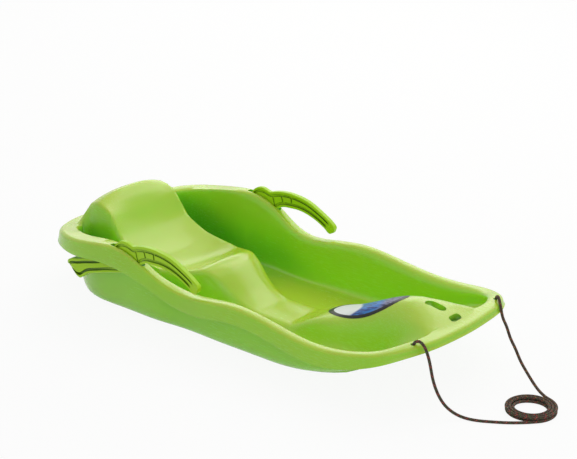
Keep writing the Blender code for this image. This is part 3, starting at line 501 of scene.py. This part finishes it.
def hull_sheet(rows, count):
    """Points and faces of the upper surface, whose last row folds onto the spine."""
    faces = loft_faces(len(rows) - 1, count)
    first = (len(rows) - 1) * count
    last = first - count
    for column in range(count):
        right = (column + 1) % count
        a = first + min(column, count - column)
        b = first + min(right, count - right)
        faces.append((last + column, last + right, b, a)[:3 if a == b else 4])
    return np.vstack([*rows[:-1], rows[-1][:count // 2 + 1]]), faces


def vertex_normals(points, faces):
    """Upward normal of a sheet at each of its points."""
    normals = np.zeros_like(points)
    for face in faces:
        corner = points[list(face)]
        normals[list(face)] += np.cross(np.roll(corner, -1, axis=0), corner).sum(axis=0)
    return unit(normals)


def smooth_shade(mesh, sharp_deg):
    """Shade a mesh smooth, apart from its real edges."""
    mesh.shade_smooth()
    mesh.set_sharp_from_angle(angle=math.radians(sharp_deg))


def drop_slivers(mesh):
    """Take out needle faces, and pairs of faces that lie back to back."""
    sheet = bmesh.new()
    sheet.from_mesh(mesh)
    bmesh.ops.remove_doubles(sheet, verts=sheet.verts[:], dist=SLIVER)
    bmesh.ops.triangulate(sheet, faces=sheet.faces[:])
    bmesh.ops.dissolve_degenerate(sheet, dist=SLIVER, edges=sheet.edges[:])
    bmesh.ops.triangulate(sheet, faces=sheet.faces[:])
    alike = {}
    for face in sheet.faces:
        alike.setdefault(frozenset(face.verts), []).append(face)
    doubled = [face for group in alike.values() if len(group) > 1 for face in group]
    bmesh.ops.delete(sheet, geom=doubled, context="FACES")
    sheet.to_mesh(mesh)
    sheet.free()


def apply_steps(item, sharp_deg):
    """Apply an object's booleans, shade it and remove the cutters."""
    tools = [step.object for step in item.modifiers]
    view = bpy.context.evaluated_depsgraph_get()
    mesh = bpy.data.meshes.new_from_object(item.evaluated_get(view))
    drop_slivers(mesh)
    smooth_shade(mesh, sharp_deg)
    item.modifiers.clear()
    item.data = mesh
    for tool in tools:
        bpy.data.objects.remove(tool, do_unlink=True)


def combine(target, tool, operation):
    """Join or cut target with tool."""
    step = target.modifiers.new(tool.name, "BOOLEAN")
    step.operation = operation
    step.solver = "EXACT"
    step.object = tool


def coat(item, look):
    """Give a piece its one material."""
    item.data.materials.clear()
    item.data.materials.append(look)


def dress(item, look, body, slot, *stands_for):
    """Give a piece its material and body, and hide the nodes that it replaces. The slot is not
    used.
    """
    coat(item, look)
    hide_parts(*stands_for)
    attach(item, body)


def mark_open(item):
    """Store on each vertex how open it is: 1 on free faces, less down in the hollows."""
    mesh = item.data
    places = [v.co for v in mesh.vertices]
    normals = np.array([v.normal for v in mesh.vertices])
    starts = np.array(places) + normals * OPEN_START
    tree = BVHTree.FromPolygons(places, [tuple(f.vertices) for f in mesh.polygons])
    steps = np.arange(OPEN_RAYS) + 0.5
    rise = 1 - 2 * steps / OPEN_RAYS
    turn = steps * math.pi * (3 - math.sqrt(5))
    flat = np.sqrt(1 - rise * rise)
    ways = np.column_stack([flat * np.cos(turn), flat * np.sin(turn), rise])
    rays = [Vector(way) for way in ways]
    share = np.ones(len(places))
    for index, facing in enumerate((normals @ ways.T).tolist()):
        start = Vector(starts[index])
        seen = total = 0.0
        for weight, ray in zip(facing, rays):
            if weight > OPEN_LEAST:
                total += weight
                if tree.ray_cast(start, ray, OPEN_REACH)[0] is None:
                    seen += weight
        share[index] = seen / max(total, 1e-6)
    one, other = np.array([e.vertices[:] for e in mesh.edges]).T
    for _ in range(OPEN_PASSES):
        around = share.copy()
        number = np.ones(len(places))
        for near, far in ((one, other), (other, one)):
            np.add.at(around, near, share[far])
            np.add.at(number, near, 1)
        share = around / number
    mesh.attributes.new("open", "FLOAT", "POINT").data.foreach_set("value", share)


def make_camera():
    """The photograph's camera."""
    az = math.radians(CAMERA_AZIMUTH_DEG)
    el = math.radians(CAMERA_ELEVATION_DEG)
    back = Vector((math.sin(az) * math.cos(el), -math.cos(az) * math.cos(el), math.sin(el)))
    right = Vector((math.cos(az), math.sin(az), 0.0))
    up = back.cross(right)
    data = bpy.data.cameras.new("camera")
    data.lens = CAMERA_LENS
    data.sensor_width = 36.0
    data.sensor_fit = "HORIZONTAL"
    data.clip_end = 60.0
    item = add_object("camera", data)
    turn_to(item, Vector(CAMERA_AIM) + back * CAMERA_DISTANCE,
            Matrix((right, up, back)).transposed().to_quaternion())
    bpy.context.scene.camera = item


class Nodes:
    """A node tree, with short calls for its nodes."""

    def __init__(self, tree):
        self.tree = tree

    def link(self, value, socket):
        """Feed a socket from another socket, or set it."""
        if hasattr(value, "node"):
            self.tree.links.new(value, socket)
        elif socket.type == "RGBA":
            socket.default_value = (*value, 1.0)
        else:
            socket.default_value = value

    def node(self, kind, *first, inputs=(), **settings):
        """Add a node with its settings, its first inputs in order and others by name."""
        made = self.tree.nodes.new("ShaderNode" + kind)
        for key, value in settings.items():
            setattr(made, key, value)
        for key, value in (*enumerate(first), *dict(inputs).items()):
            self.link(value, made.inputs[key])
        return made

    def math(self, operation, *values):
        return self.node("Math", *values, operation=operation).outputs[0]

    def ramp(self, value, low, high, to_low=0.0, to_high=1.0):
        """Map value smoothly from low..high to to_low..to_high."""
        made = self.node("MapRange", value, low, high, to_low, to_high,
                         interpolation_type="SMOOTHSTEP")
        return made.outputs[0]

    def seen(self):
        """1 for camera, glossy and transmission rays, else 0."""
        rays = self.node("LightPath").outputs
        first = self.math("MAXIMUM", rays["Is Camera Ray"], rays["Is Glossy Ray"])
        return self.math("MAXIMUM", first, rays["Is Transmission Ray"])


class Look(Nodes):
    """A node material."""

    def __init__(self, name):
        self.material = bpy.data.materials.new(name)
        self.material.use_nodes = True
        super().__init__(self.material.node_tree)
        self.shader = self.tree.nodes["Principled BSDF"]

    def mix(self, share, a, b):
        """Mix two colours."""
        return self.node("Mix", share, inputs={6: a, 7: b}, data_type="RGBA").outputs[2]

    def noise(self, place, scale, detail=2.0, roughness=0.5):
        inputs = {"Scale": scale, "Detail": detail, "Roughness": roughness}
        return self.node("TexNoise", place, inputs=inputs).outputs["Fac"]

    def place(self):
        return self.node("TexCoord").outputs["Object"]

    def stretched(self, place, scale):
        return self.node("Mapping", place, inputs={"Scale": scale}).outputs[0]

    def split(self, vector):
        return self.node("SeparateXYZ", vector).outputs

    def bump(self, height, distance, strength=1.0, under=(0.0, 0.0, 0.0)):
        inputs = {"Strength": strength, "Distance": distance, "Height": height, "Normal": under}
        return self.node("Bump", inputs=inputs).outputs[0]

    def soft_edges(self, radius):
        return self.node("Bevel", radius, samples=4).outputs[0]

    def recess(self, distance):
        """1 on open faces, less where the piece's own surface closes in around them."""
        made = self.node("AmbientOcclusion", inputs={"Distance": distance}, samples=8,
                         only_local=True)
        return made.outputs["AO"]

    def set(self, **values):
        names = {"colour": "Base Color", "roughness": "Roughness", "metallic": "Metallic",
                 "normal": "Normal", "specular": "Specular IOR Level",
                 "sheen": "Sheen Weight", "subsurface": "Subsurface Weight",
                 "radius": "Subsurface Radius", "depth": "Subsurface Scale"}
        for key, value in values.items():
            self.link(value, self.shader.inputs[names[key]])


def hull_look():
    """Glossy moulding with orange peel and fine rubs, and painted light: tops paler as if lit,
    flanks greener as if shaded, and painted shade in its hollows and pockets.
    """
    look = Look("hull_moulding")
    place = look.place()
    cloud = look.noise(place, 5.0)
    grain = look.noise(place, 420.0)
    rubs = look.noise(look.stretched(place, (6.0, 60.0, 60.0)), 9.0, 5.0, 0.7)
    facing = look.split(look.node("NewGeometry").outputs["Normal"])
    # Painted light: faces turned up are paler and yellower as if lit, the flanks greener as if
    # shaded
    painted_lit_top = look.mix(cloud, (0.51, 0.73, 0.04), (0.55, 0.76, 0.052))
    painted_shaded_flank = look.mix(cloud, (0.39, 0.78, 0.028), (0.43, 0.81, 0.036))
    hollow_shade = look.mix(cloud, (0.165, 0.52, 0.022), (0.195, 0.56, 0.03))
    pocket_shade = (0.085, 0.27, 0.01)
    colour = look.mix(look.ramp(facing[2], 0.25, 0.85), painted_shaded_flank, painted_lit_top)
    open_share = look.node("Attribute", attribute_name="open").outputs["Fac"]
    # Painted shade: a darker, greener colour down in the hollows, where the open share is low
    colour = look.mix(look.ramp(open_share, 0.3, 0.78), hollow_shade, colour)
    # Painted shade: a near-black green in tight pockets such as the dimples, slots and holes
    colour = look.mix(look.ramp(look.recess(0.016), 0.3, 0.8), pocket_shade, colour)
    rough = look.math("ADD", look.ramp(rubs, 0.45, 0.75, 0.0, 0.07),
                      look.ramp(cloud, 0.3, 0.7, 0.2, 0.26))
    peel = look.bump(grain, 0.00006, 0.35, look.soft_edges(0.0009))
    fine = look.bump(rubs, 0.00004, 0.3, peel)
    look.set(colour=colour, roughness=rough, normal=fine, specular=0.5, subsurface=0.45,
             radius=(0.3, 1.0, 0.05), depth=0.007)
    return look.material


def lever_look():
    """Harder, darker plastic of the levers, with painted shade down in its grooves."""
    look = Look("lever_moulding")
    place = look.place()
    cloud = look.noise(place, 14.0)
    grain = look.noise(place, 700.0)
    ridge = look.mix(cloud, (0.44, 0.8, 0.006), (0.5, 0.84, 0.012))
    groove = look.mix(cloud, (0.085, 0.215, 0.002), (0.11, 0.25, 0.003))
    # Painted shade: a dark colour down in the grooves and round the cross ribs, by the lever's own
    # occlusion
    colour = look.mix(look.ramp(look.recess(0.007), 0.48, 0.9), groove, ridge)
    rough = look.ramp(grain, 0.2, 0.8, 0.3, 0.42)
    look.set(colour=colour, roughness=rough, specular=0.3,
             normal=look.bump(grain, 0.00005, 0.4, look.soft_edges(0.0006)))
    return look.material


def steel_look():
    """Drawn steel wire: fine lines round the pin and a few duller patches."""
    look = Look("pin_drawn_steel")
    place = look.place()
    lines = look.noise(look.stretched(place, (30.0, 900.0, 30.0)), 4.0, 3.0)
    patch = look.noise(place, 260.0, 3.0)
    colour = look.mix(patch, (0.42, 0.42, 0.43), (0.62, 0.62, 0.63))
    look.set(colour=colour, metallic=1.0, roughness=look.ramp(patch, 0.3, 0.7, 0.24, 0.42),
             normal=look.bump(lines, 0.00003, 0.5))
    return look.material


def rope_look():
    """Braided cord: two families of strands that pass over and under each other."""
    look = Look("rope_braid")
    plus, minus, times = (partial(look.math, name) for name in ("ADD", "SUBTRACT", "MULTIPLY"))
    parts = look.split(look.node("UVMap", uv_map="braid").outputs[0])
    run = look.math("DIVIDE", parts[0], STRAND_PITCH)
    turn = times(parts[1], STRANDS)
    first = plus(turn, run)
    second = minus(turn, run)
    first_cell = look.math("FLOOR", first)
    second_cell = look.math("FLOOR", second)
    over = look.math("FLOORED_MODULO", plus(first_cell, second_cell), 2.0)
    under = minus(1.0, over)

    def arch(value):
        part = minus(times(look.math("FRACT", value), 2.0), 1.0)
        return minus(1.0, times(part, part))

    low = times(arch(first), look.math("SQRT", arch(second)))
    high = times(arch(second), look.math("SQRT", arch(first)))
    height = look.math("SQRT", plus(times(low, under), times(high, over)))
    fuzz = look.noise(look.place(), 2600.0, 3.0)
    colour = look.mix(fuzz, (0.046, 0.026, 0.019), (0.15, 0.09, 0.066))
    for cell, which, on_top, tint in (
        (first_cell, 1.0, under, (0.52, 0.07, 0.045)),
        (second_cell, 3.0, over, (0.08, 0.21, 0.065)),
        (second_cell, 0.0, over, (0.2, 0.135, 0.095)),
    ):
        index = look.math("FLOORED_MODULO", cell, STRANDS)
        share = times(look.math("COMPARE", index, which, 0.1), on_top)
        colour = look.mix(share, colour, tint)
    shade = look.ramp(height, 0.1, 0.75, 0.4, 1.0)
    colour = look.mix(shade, (0.006, 0.004, 0.003), colour)
    normal = look.bump(fuzz, 0.00012, 0.5, look.bump(height, 0.0006, 0.9))
    look.set(colour=colour, roughness=0.82, specular=0.25, sheen=0.15, normal=normal)
    return look.material


def sticker_look():
    """Printed film: dark border, white snow, a blue sky band and a dim violet distance."""
    look = Look("sticker_print")
    times = partial(look.math, "MULTIPLY")
    place = look.place()
    parts = look.split(place)
    along = look.math("DIVIDE", look.math("SUBTRACT", parts[0], STICKER_CENTRE_X),
                      STICKER_PLAN_LENGTH / 2)
    across = look.math("DIVIDE", parts[1], STICKER_WIDTH / 2)
    reach = look.math("SQRT", look.math("ADD", times(along, along), times(across, across)))
    hill = look.math("ADD", along, times(look.math("SINE", times(across, 4.0)), 0.1))
    streak = look.noise(look.stretched(place, (40.0, 160.0, 40.0)), 2.0, 3.0)
    blue = look.mix(look.ramp(streak, 0.35, 0.62), (0.004, 0.03, 0.24), (0.035, 0.24, 0.72))
    violet = look.mix(look.ramp(streak, 0.36, 0.6), (0.02, 0.02, 0.09), (0.24, 0.24, 0.42))
    colour = look.mix(look.ramp(hill, -0.22, -0.1), (0.9, 0.92, 0.95), blue)
    colour = look.mix(look.ramp(hill, 0.3, 0.55), colour, violet)
    colour = look.mix(look.ramp(reach, 0.855, 0.872), colour, (0.004, 0.004, 0.005))
    grain = look.noise(place, 900.0)
    look.set(colour=colour, roughness=look.ramp(streak, 0.3, 0.7, 0.3, 0.38), specular=0.25,
             normal=look.bump(grain, 0.00003, 0.2))
    return look.material


def upper_surface():
    """Points, faces and normals of the tub's upper surface."""
    rows = hull_rows(FINE_COLUMNS, wall_steps=14, inner_steps=34, arc_steps=6)
    points, faces = hull_sheet(rows, FINE_COLUMNS)
    return points, faces, vertex_normals(points, faces)


def eased(normals, count):
    """Even out normals along and across the rows, so that the inner skin never folds."""
    rows = (len(normals) - count // 2 - 1) // count
    body = normals[:rows * count].reshape(rows, count, 3).copy()
    for _ in range(NORMAL_PASSES):
        body[1:-1] = body[:-2] * 0.25 + body[1:-1] * 0.5 + body[2:] * 0.25
        beside = np.roll(body, 1, axis=1) * 0.25 + body * 0.5 + np.roll(body, -1, axis=1) * 0.25
        body[2:] = beside[2:]
        body = unit(body)
    return np.vstack([body.reshape(-1, 3), normals[rows * count:]])


def hull_shell():
    """The tub as one closed shell with a rounded lower edge."""
    points, faces, normals = upper_surface()
    count = FINE_COLUMNS
    lower = points - eased(normals, count) * WALL
    lower[:count, 2] = points[:count, 2]
    total = len(points)
    shell = faces + [tuple(total + i for i in reversed(face)) for face in faces]
    edge = (points[:count] + lower[:count]) / 2
    half = (points[:count] - lower[:count]) / 2
    every = [points, lower]
    for turn in np.radians((45, 90, 135)):
        every.append(edge + half * math.cos(turn) - (0, 0, WALL / 2 * math.sin(turn)))
    rings = [0, 2 * total, 2 * total + count, 2 * total + 2 * count, total]
    for first, second in zip(rings, rings[1:]):
        for column in range(count):
            right = (column + 1) % count
            shell.append((first + column, second + column, second + right, first + right))
    return add_mesh("hull_moulding", np.vstack(every), shell)


def runner(side):
    """A runner that follows the underside of the floor."""
    stations = np.linspace(RUNNER_REAR, RUNNER_FRONT, RUNNER_STATIONS)
    underside = floor_height(stations) - WALL
    slope = np.gradient(underside, stations)
    rear = np.clip((stations - RUNNER_REAR) / RUNNER_REAR_RAMP, 0, 1)
    front = np.clip((RUNNER_FRONT - stations) / RUNNER_FRONT_RAMP, 0, 1)
    depth = np.maximum(RUNNER_DEPTH * np.sqrt(rear * front), 0.0002)
    points = []
    for x, z, tilt, drop in zip(stations, underside, slope, depth):
        lean = drop * tilt / math.hypot(1, tilt)
        fall = drop / math.hypot(1, tilt)
        top = (x, z + WALL * 0.5, RUNNER_WIDTH / 2)
        low = (x + lean, z - fall, RUNNER_WIDTH / 2 - RUNNER_TAPER)
        for (to_x, to_z, out), way in ((top, -1), (low, -1), (low, 1), (top, 1)):
            points.append((to_x, side * RUNNER_Y + way * out, to_z))
    return add_mesh("runner", points, capped_loft(len(stations), 4))


def side_name(side):
    """The rider's right is at -Y."""
    return "left" if side > 0 else "right"


def prism(name, outline, low, high, axis=1):
    """A solid from an outline in a plane, drawn from low to high along y, or z with axis 2."""
    points = [(*spot[:axis], end, *spot[axis:]) for end in (low, high) for spot in outline]
    return add_mesh(name, points, capped_loft(2, len(outline)))


def arc(centre, radius, start_deg, end_deg, steps):
    """Points of an arc in a plane."""
    angles = np.radians(np.linspace(start_deg, end_deg, steps + 1))
    return [(centre[0] + radius * math.cos(a), centre[1] + radius * math.sin(a)) for a in angles]


def rounded_slot(centre, along, across, steps=6):
    """Outline of a slot with round ends, lying along the first axis."""
    radius = across / 2
    half = along / 2 - radius
    right = arc((centre[0] + half, centre[1]), radius, -90, 90, steps)
    left = arc((centre[0] - half, centre[1]), radius, 90, 270, steps)
    return right + left


def hook(side, inner):
    """One of the two snap hooks that hold a pin under the rim."""
    face = LEVER_BASE_WIDTH / 2 + LEVER_SIDE_GAP
    near = BRAKE_Y - face - HOOK_THICKNESS if inner else BRAKE_Y + face
    far = near + HOOK_THICKNESS
    seat = PIN_RADIUS + HOOK_CLEARANCE
    neck_deg = math.degrees(math.asin(HOOK_NECK / 2 / seat))
    x, z = centre = (BRAKE_PIVOT_X, BRAKE_PIVOT_Z)
    wide = seat + HOOK_WALL
    top = column_height(x) - WALL * 0.5
    mouth = z - wide * HOOK_MOUTH
    outline = [(x - wide, top), (x - wide, z)]
    outline += arc(centre, wide, 180, 270 - HOOK_MOUTH_DEG, 4)[1:]
    outline += [(x - HOOK_NECK / 2, mouth)]
    outline += arc(centre, seat, 270 - neck_deg, neck_deg - 90, 16)
    outline += [(x + HOOK_NECK / 2, mouth)]
    outline += arc(centre, wide, 270 + HOOK_MOUTH_DEG, 360, 4)[:-1]
    outline += [(x + wide, z), (x + wide, top)]
    return prism("hook", outline, *sorted((side * near, side * far)))


def column_height(x):
    """Height of the rim's top at a place along the side."""
    ring = smooth_curve(RIM, 400)
    return float(np.interp(x, ring[:, 0], ring[:, 2]))


def ridge_height(x):
    """Height of the tub's upper surface on its centre line."""
    rows = hull_rows(COLUMNS, wall_steps=5, inner_steps=10, arc_steps=2)
    line = np.array([row[COLUMNS // 2] for row in rows])[::-1]
    return float(np.interp(x, line[:, 0], line[:, 2]))


def dimple(where, wall):
    """A blind dimple: the bowl that is cut, or with a wall the cup that carries it."""
    x, along, across = where
    outline = rounded_slot((0, 0), max(along, across) + 2 * wall, min(along, across) + 2 * wall)
    if across > along:
        outline = [(b, a) for a, b in outline]
    points = []
    for grow, drop in ((1.0, -wall / 2 if wall else DIMPLE_CUT_LIFT),
                       (1.0, -DIMPLE_DEPTH * DIMPLE_SHOULDER - wall),
                       (DIMPLE_FLOOR, -DIMPLE_DEPTH - wall)):
        for u, v in outline:
            points.append((x + u * grow, v * grow, ridge_height(x + u * grow) + drop))
    return add_mesh("dimple", points, capped_loft(3, len(outline)))


def brake_slot(side):
    """The cut in the rim that a lever passes through."""
    wide = LEVER_BASE_WIDTH + 2 * LEVER_SIDE_GAP
    middle = (SLOT_REAR_X + SLOT_FRONT_X) / 2
    outline = rounded_slot((middle, side * BRAKE_Y), SLOT_FRONT_X - SLOT_REAR_X, wide, steps=4)
    return prism("slot", outline, CUT_LOW, SLOT_CUT_TOP, axis=2)


def rope_hole(side):
    """The cut at a front corner that the rope passes through."""
    outline = arc((ROPE_HOLE_X, side * ROPE_HOLE_Y), ROPE_HOLE_RADIUS, 0, 330, 11)
    return prism("hole", outline, CUT_LOW, HOLE_CUT_TOP, axis=2)


def lever_section(height, width, groove):
    """Right half of the lever's section, top to bottom, as (out, up) from its middle."""
    half = height / 2
    edge = width / 2
    chamfer = min(LEVER_CHAMFER, edge * 0.4)
    web = min(edge - (edge - LEVER_WEB / 2) * groove, edge - 0.0002)
    flange = half - max(min(LEVER_FLANGE, height * 0.2), chamfer + 0.0002)
    body = flange - min(LEVER_GROOVE, height * 0.2)
    face = edge - 0.0001 - LEVER_FACE_SET * groove
    slant = min(LEVER_SLANT, height * 0.05)
    upper = [(edge - chamfer, half), (edge, half - chamfer), (edge, flange),
             (web, flange - slant), (web, body + slant), (face, body)]
    return upper + [(out, -up) for out, up in reversed(upper)]


def lever_stations(count):
    """Smooth stations along the lever, as rows like those of LEVER."""
    keys = np.array(LEVER)
    middle = (keys[:, 0:2] + keys[:, 2:4]) / 2
    rows = np.column_stack([middle, np.zeros(len(keys)), keys])
    return smooth_curve(rows, count)[:, 3:]


def make_lever(side, look):
    """One brake lever."""
    points = []
    for *ends, width, groove, outward in lever_stations(FINE_STATIONS):
        top, low = np.reshape(ends, (2, 2))
        up = unit(top - low)
        height = math.dist(top, low)
        right = lever_section(height, width, float(np.clip(groove, 0.0, 1.0)))
        ring = right + [(-out, rise) for out, rise in reversed(right)]
        for out, rise in ring:
            x, z = (top + low) / 2 + up * rise
            points.append((x, side * (BRAKE_Y + outward + out), z))
    faces = capped_loft(FINE_STATIONS, len(points) // FINE_STATIONS)
    lever = add_mesh("brake_lever_moulding_" + side_name(side), points, faces)
    pivot = (BRAKE_PIVOT_X, BRAKE_PIVOT_Z)
    half = LEVER_BASE_WIDTH / 2
    middle_y = side * BRAKE_Y
    boss = prism("boss", arc(pivot, BOSS_RADIUS, 0, 337.5, 15),
                 middle_y - half + BOSS_SET, middle_y + half - BOSS_SET)
    combine(lever, boss, "UNION")
    for x in CROSS_GROOVES:
        for face in (-1, 1):
            combine(lever, cross_groove(side, x, face), "DIFFERENCE")
    bore = prism("bore", arc(pivot, PIN_RADIUS + CLEARANCE, 0, 345, 23),
                 middle_y - BORE_REACH, middle_y + BORE_REACH)
    combine(lever, bore, "DIFFERENCE")
    apply_steps(lever, LEVER_SHARP_DEG)
    dress(lever, look, "brake_" + side_name(side), "lever_plastic",
          "brake_lever_" + side_name(side))


def cross_groove(side, x, face):
    """A cutter for an upright groove between the two long ones."""
    rows = lever_stations(200)
    *ends, width, _, outward = rows[np.argmin(np.abs(rows[:, 0] - x))]
    top, low = np.reshape(ends, (2, 2))
    up = unit(top - low)
    along = np.array([up[1], -up[0]]) * CROSS_GROOVE_WIDTH / 2
    margin = up * (LEVER_FLANGE + LEVER_GROOVE / 2)
    top = top - margin
    low = low + margin
    outline = (top + along, top - along, low - along, low + along)
    middle_y = side * (BRAKE_Y + outward)
    near = middle_y + face * (LEVER_WEB / 2 + CROSS_GROOVE_SET)
    far = middle_y + face * (width / 2 + CROSS_GROOVE_CLEAR)
    return prism("groove", outline, *sorted((near, far)))


def coil_points(per_loop):
    """The coil's centre line: in on the lower layer, out on the upper one, with straight ends."""
    total = int(round(COIL_TURNS * per_loop))
    start = math.radians(COIL_START_DEG)
    centre = np.array([*COIL_CENTRE, 0.0])
    half = COIL_TURNS / 2
    points = []
    for step in range(total + 1):
        turn = step * COIL_TURNS / total
        angle = start + 2 * math.pi * turn
        from_end = min(turn, COIL_TURNS - turn)
        radius = COIL_OUTER_RADIUS - COIL_PITCH * from_end
        climb = np.clip((turn - half) / 0.5 + 0.5, 0, 1)
        height = ROPE_FLOOR + COIL_LAYER * climb * climb * (3 - 2 * climb)
        points.append(centre + (radius * math.cos(angle), radius * math.sin(angle), height))
    first, last = (end + unit(end - inner) * 2 * ROPE_RADIUS
                   for end, inner in (points[:2], points[:-3:-1]))
    return [first, *points, last]


def run_points(route, hole, coil_end, coil_next):
    """A free stretch: straight up through its hole, along the route, straight into the coil."""
    hole = np.array(hole)
    away = unit(coil_end - coil_next)
    face = coil_end + away * CLEARANCE
    ends = np.vstack([hole, hole + (0, 0, HOLE_STRAIGHT), route, face + away * COIL_STRAIGHT,
                      face])
    inner = smooth_curve(ends[1:-1], int(steps_along(ends).sum() / ROUTE_STEP))
    return np.vstack([ends[:1], inner, ends[-1:]])


def knot_top():
    """Height of a knot's flat top, just under the rim at the rope hole."""
    ring, _ = rim_columns(COLUMNS)
    near = int(np.argmin(np.hypot(ring[:, 0] - ROPE_HOLE_X, ring[:, 1] - ROPE_HOLE_Y)))
    return float(ring[near, 2]) - WALL - KNOT_GAP


def make_hull(look):
    """The whole moulding."""
    hull = hull_shell()
    for side in (-1, 1):
        combine(hull, runner(side), "UNION")
        combine(hull, hook(side, inner=True), "UNION")
        combine(hull, hook(side, inner=False), "UNION")
        combine(hull, brake_slot(side), "DIFFERENCE")
        combine(hull, rope_hole(side), "DIFFERENCE")
    for where in (DIMPLE_LONG, DIMPLE_CROSS):
        combine(hull, dimple(where, WALL), "UNION")
        combine(hull, dimple(where, 0.0), "DIFFERENCE")
    apply_steps(hull, HULL_SHARP_DEG)
    mark_open(hull)
    dress(hull, look, "sled", "hull_plastic", "hull")


def make_sticker(look):
    """The oval sheet on the ramp, taking the shape of the fine tub."""
    points, faces, normals = upper_surface()
    reach_x = STICKER_PLAN_LENGTH / 2 + STICKER_MARGIN_X
    reach_y = STICKER_WIDTH / 2 + STICKER_MARGIN_Y
    chosen = []
    for face in faces:
        x, y, _ = points[list(face)].mean(axis=0)
        if abs(x - STICKER_CENTRE_X) < reach_x and abs(y) < reach_y:
            chosen.append(face)
    used = sorted({index for face in chosen for index in face})
    place = {index: number for number, index in enumerate(used)}
    low = points[used] + normals[used] * STICKER_GAP
    high = low + normals[used] * STICKER_THICKNESS
    sheet = [tuple(place[i] for i in face) for face in chosen]
    count = len(used)
    solid = [tuple(count + i for i in face) for face in sheet]
    solid += [tuple(reversed(face)) for face in sheet]
    sides = dict.fromkeys(side for face in sheet for side in zip(face, face[1:] + face[:1]))
    solid += [(a, b, count + b, count + a) for a, b in sides if (b, a) not in sides]
    sticker = add_mesh("front_sticker_print", np.vstack([low, high]), solid)
    angles = np.linspace(0, 2 * math.pi, 96, endpoint=False)
    outline = [(STICKER_CENTRE_X + STICKER_PLAN_LENGTH / 2 * math.cos(a),
                STICKER_WIDTH / 2 * math.sin(a)) for a in angles]
    combine(sticker, prism("oval", outline, 0.0, 0.2, axis=2), "INTERSECT")
    apply_steps(sticker, STICKER_SHARP_DEG)
    dress(sticker, look, "sled", "sticker_film", "front_sticker")


def rope_path():
    """The rope's centre line from the right hole, round the coil, to the left hole."""
    coil = coil_points(72)
    start = knot_top() + CLEARANCE
    right = run_points(RIGHT_ROUTE, (ROPE_HOLE_X, -ROPE_HOLE_Y, start), coil[0], coil[1])
    left = run_points(LEFT_ROUTE, (ROPE_HOLE_X, ROPE_HOLE_Y, start), coil[-1], coil[-2])
    line = np.vstack([right, coil[1:-1], left[::-1]])
    return even_steps(line, int(run_along(line)[-1] / ROPE_RINGS_STEP) + 1)


def tube(name, path, radius, sides):
    """A closed tube along a path, with a UV map: length along it in metres, and turn."""
    ahead = unit(np.gradient(path, axis=0))
    across = unit(np.cross(ahead[0], (0.0, 1.0, 0.0)))
    points = []
    for spot, way in zip(path, ahead):
        across = unit(across - way * np.dot(across, way))
        other = np.cross(way, across)
        for step in range(sides):
            turn = 2 * math.pi * step / sides
            points.append(spot + radius * (math.cos(turn) * across + math.sin(turn) * other))
    rings = len(path)
    faces = capped_loft(rings, sides)
    mesh = new_mesh(name, points, faces)
    run = run_along(path)
    values = []
    for number, face in enumerate(faces):
        for corner, index in enumerate(face):
            seam = number < (rings - 1) * sides and corner in (1, 2) and index % sides == 0
            values += [run[index // sides], 1.0 if seam else index % sides / sides]
    mesh.uv_layers.new(name="braid").data.foreach_set("uv", values)
    face_out(mesh)
    smooth_shade(mesh, ROPE_SHARP_DEG)
    return add_object(name, mesh)


def make_knot(side, look):
    """A stopper knot: the rope's end goes down through the middle of its own two turns."""
    top = np.array([ROPE_HOLE_X, side * ROPE_HOLE_Y, knot_top()])
    strand = KNOT_STRAND
    down = [(0.0, 0.0, -z) for z in np.linspace(0.0, KNOT_HEIGHT - strand, 6)]
    around = []
    for t in np.linspace(0.0, 1.0, 40):
        angle = 2 * math.pi * KNOT_TURNS * t
        out = (KNOT_RADIUS - strand) * min(1.0, 0.25 + 6 * t)
        rise = -KNOT_HEIGHT + strand + (KNOT_HEIGHT - 2.6 * strand) * t
        around.append((out * math.cos(angle), out * math.sin(angle), rise))
    path = smooth_curve(np.array(down + around[2:]), 90) + top
    knot = tube("tow_rope_knot_tied_" + side_name(side), path, strand, ROPE_SIDES)
    dress(knot, look, "sled", "rope", "tow_rope_knot_" + side_name(side))
    return knot


def make_rope(look):
    """The tow rope as one braided cord with its real length, and its two knots."""
    path = rope_path()
    rope = tube("tow_rope_cord", path, ROPE_RADIUS, ROPE_SIDES)
    dress(rope, look, "sled", "rope", "tow_rope_right_run", "tow_rope_coil", "tow_rope_left_run")
    knots = [make_knot(side, look) for side in (-1, 1)]


def make_stage():
    """White floor, soft lights and a white world."""
    corners = [(-20, -20, 0), (20, -20, 0), (20, 20, 0), (-20, 20, 0)]
    floor = add_object("floor", new_mesh("floor", corners, [(0, 1, 2, 3)]))
    look = Look("floor_white")
    look.set(colour=(0.93, 0.94, 0.92), roughness=0.9, specular=0.1)
    white = look.node("Emission", (1.0, 1.0, 1.0)).outputs[0]
    share = look.math("MULTIPLY", look.seen(), FLOOR_GLOW)
    blend = look.node("MixShader", share, look.shader.outputs[0], white)
    look.link(blend.outputs[0], look.tree.nodes["Material Output"].inputs[0])
    coat(floor, look.material)
    world = bpy.data.worlds.new("studio")
    bpy.context.scene.world = world
    world.use_nodes = True
    sky = Nodes(world.node_tree)
    back = sky.tree.nodes["Background"].inputs
    sky.link((1.0, 1.0, 1.0), back["Color"])
    sky.link(sky.ramp(sky.seen(), 0.0, 1.0, WORLD_LEVEL, 1.0), back["Strength"])
    for name, place, size, power in LAMPS:
        data = bpy.data.lights.new(name, "AREA")
        data.shape = "RECTANGLE"
        data.size, data.size_y = size
        data.energy = power
        data.color = LAMP_COLOUR
        turned = (Vector(place) - Vector(LAMP_AIM)).to_track_quat("Z", "Y")
        turn_to(add_object(name, data), place, turned)


def main():
    bpy.context.scene.view_settings.view_transform = "Standard"
    make_camera()
    make_rope(rope_look())
    make_hull(hull_look())
    harder, steel = lever_look(), steel_look()
    for side in (-1, 1):
        make_lever(side, harder)
        coat(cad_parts["brake_pin_" + side_name(side)], steel)
    make_sticker(sticker_look())
    make_stage()
    bpy.context.view_layer.update()


main()
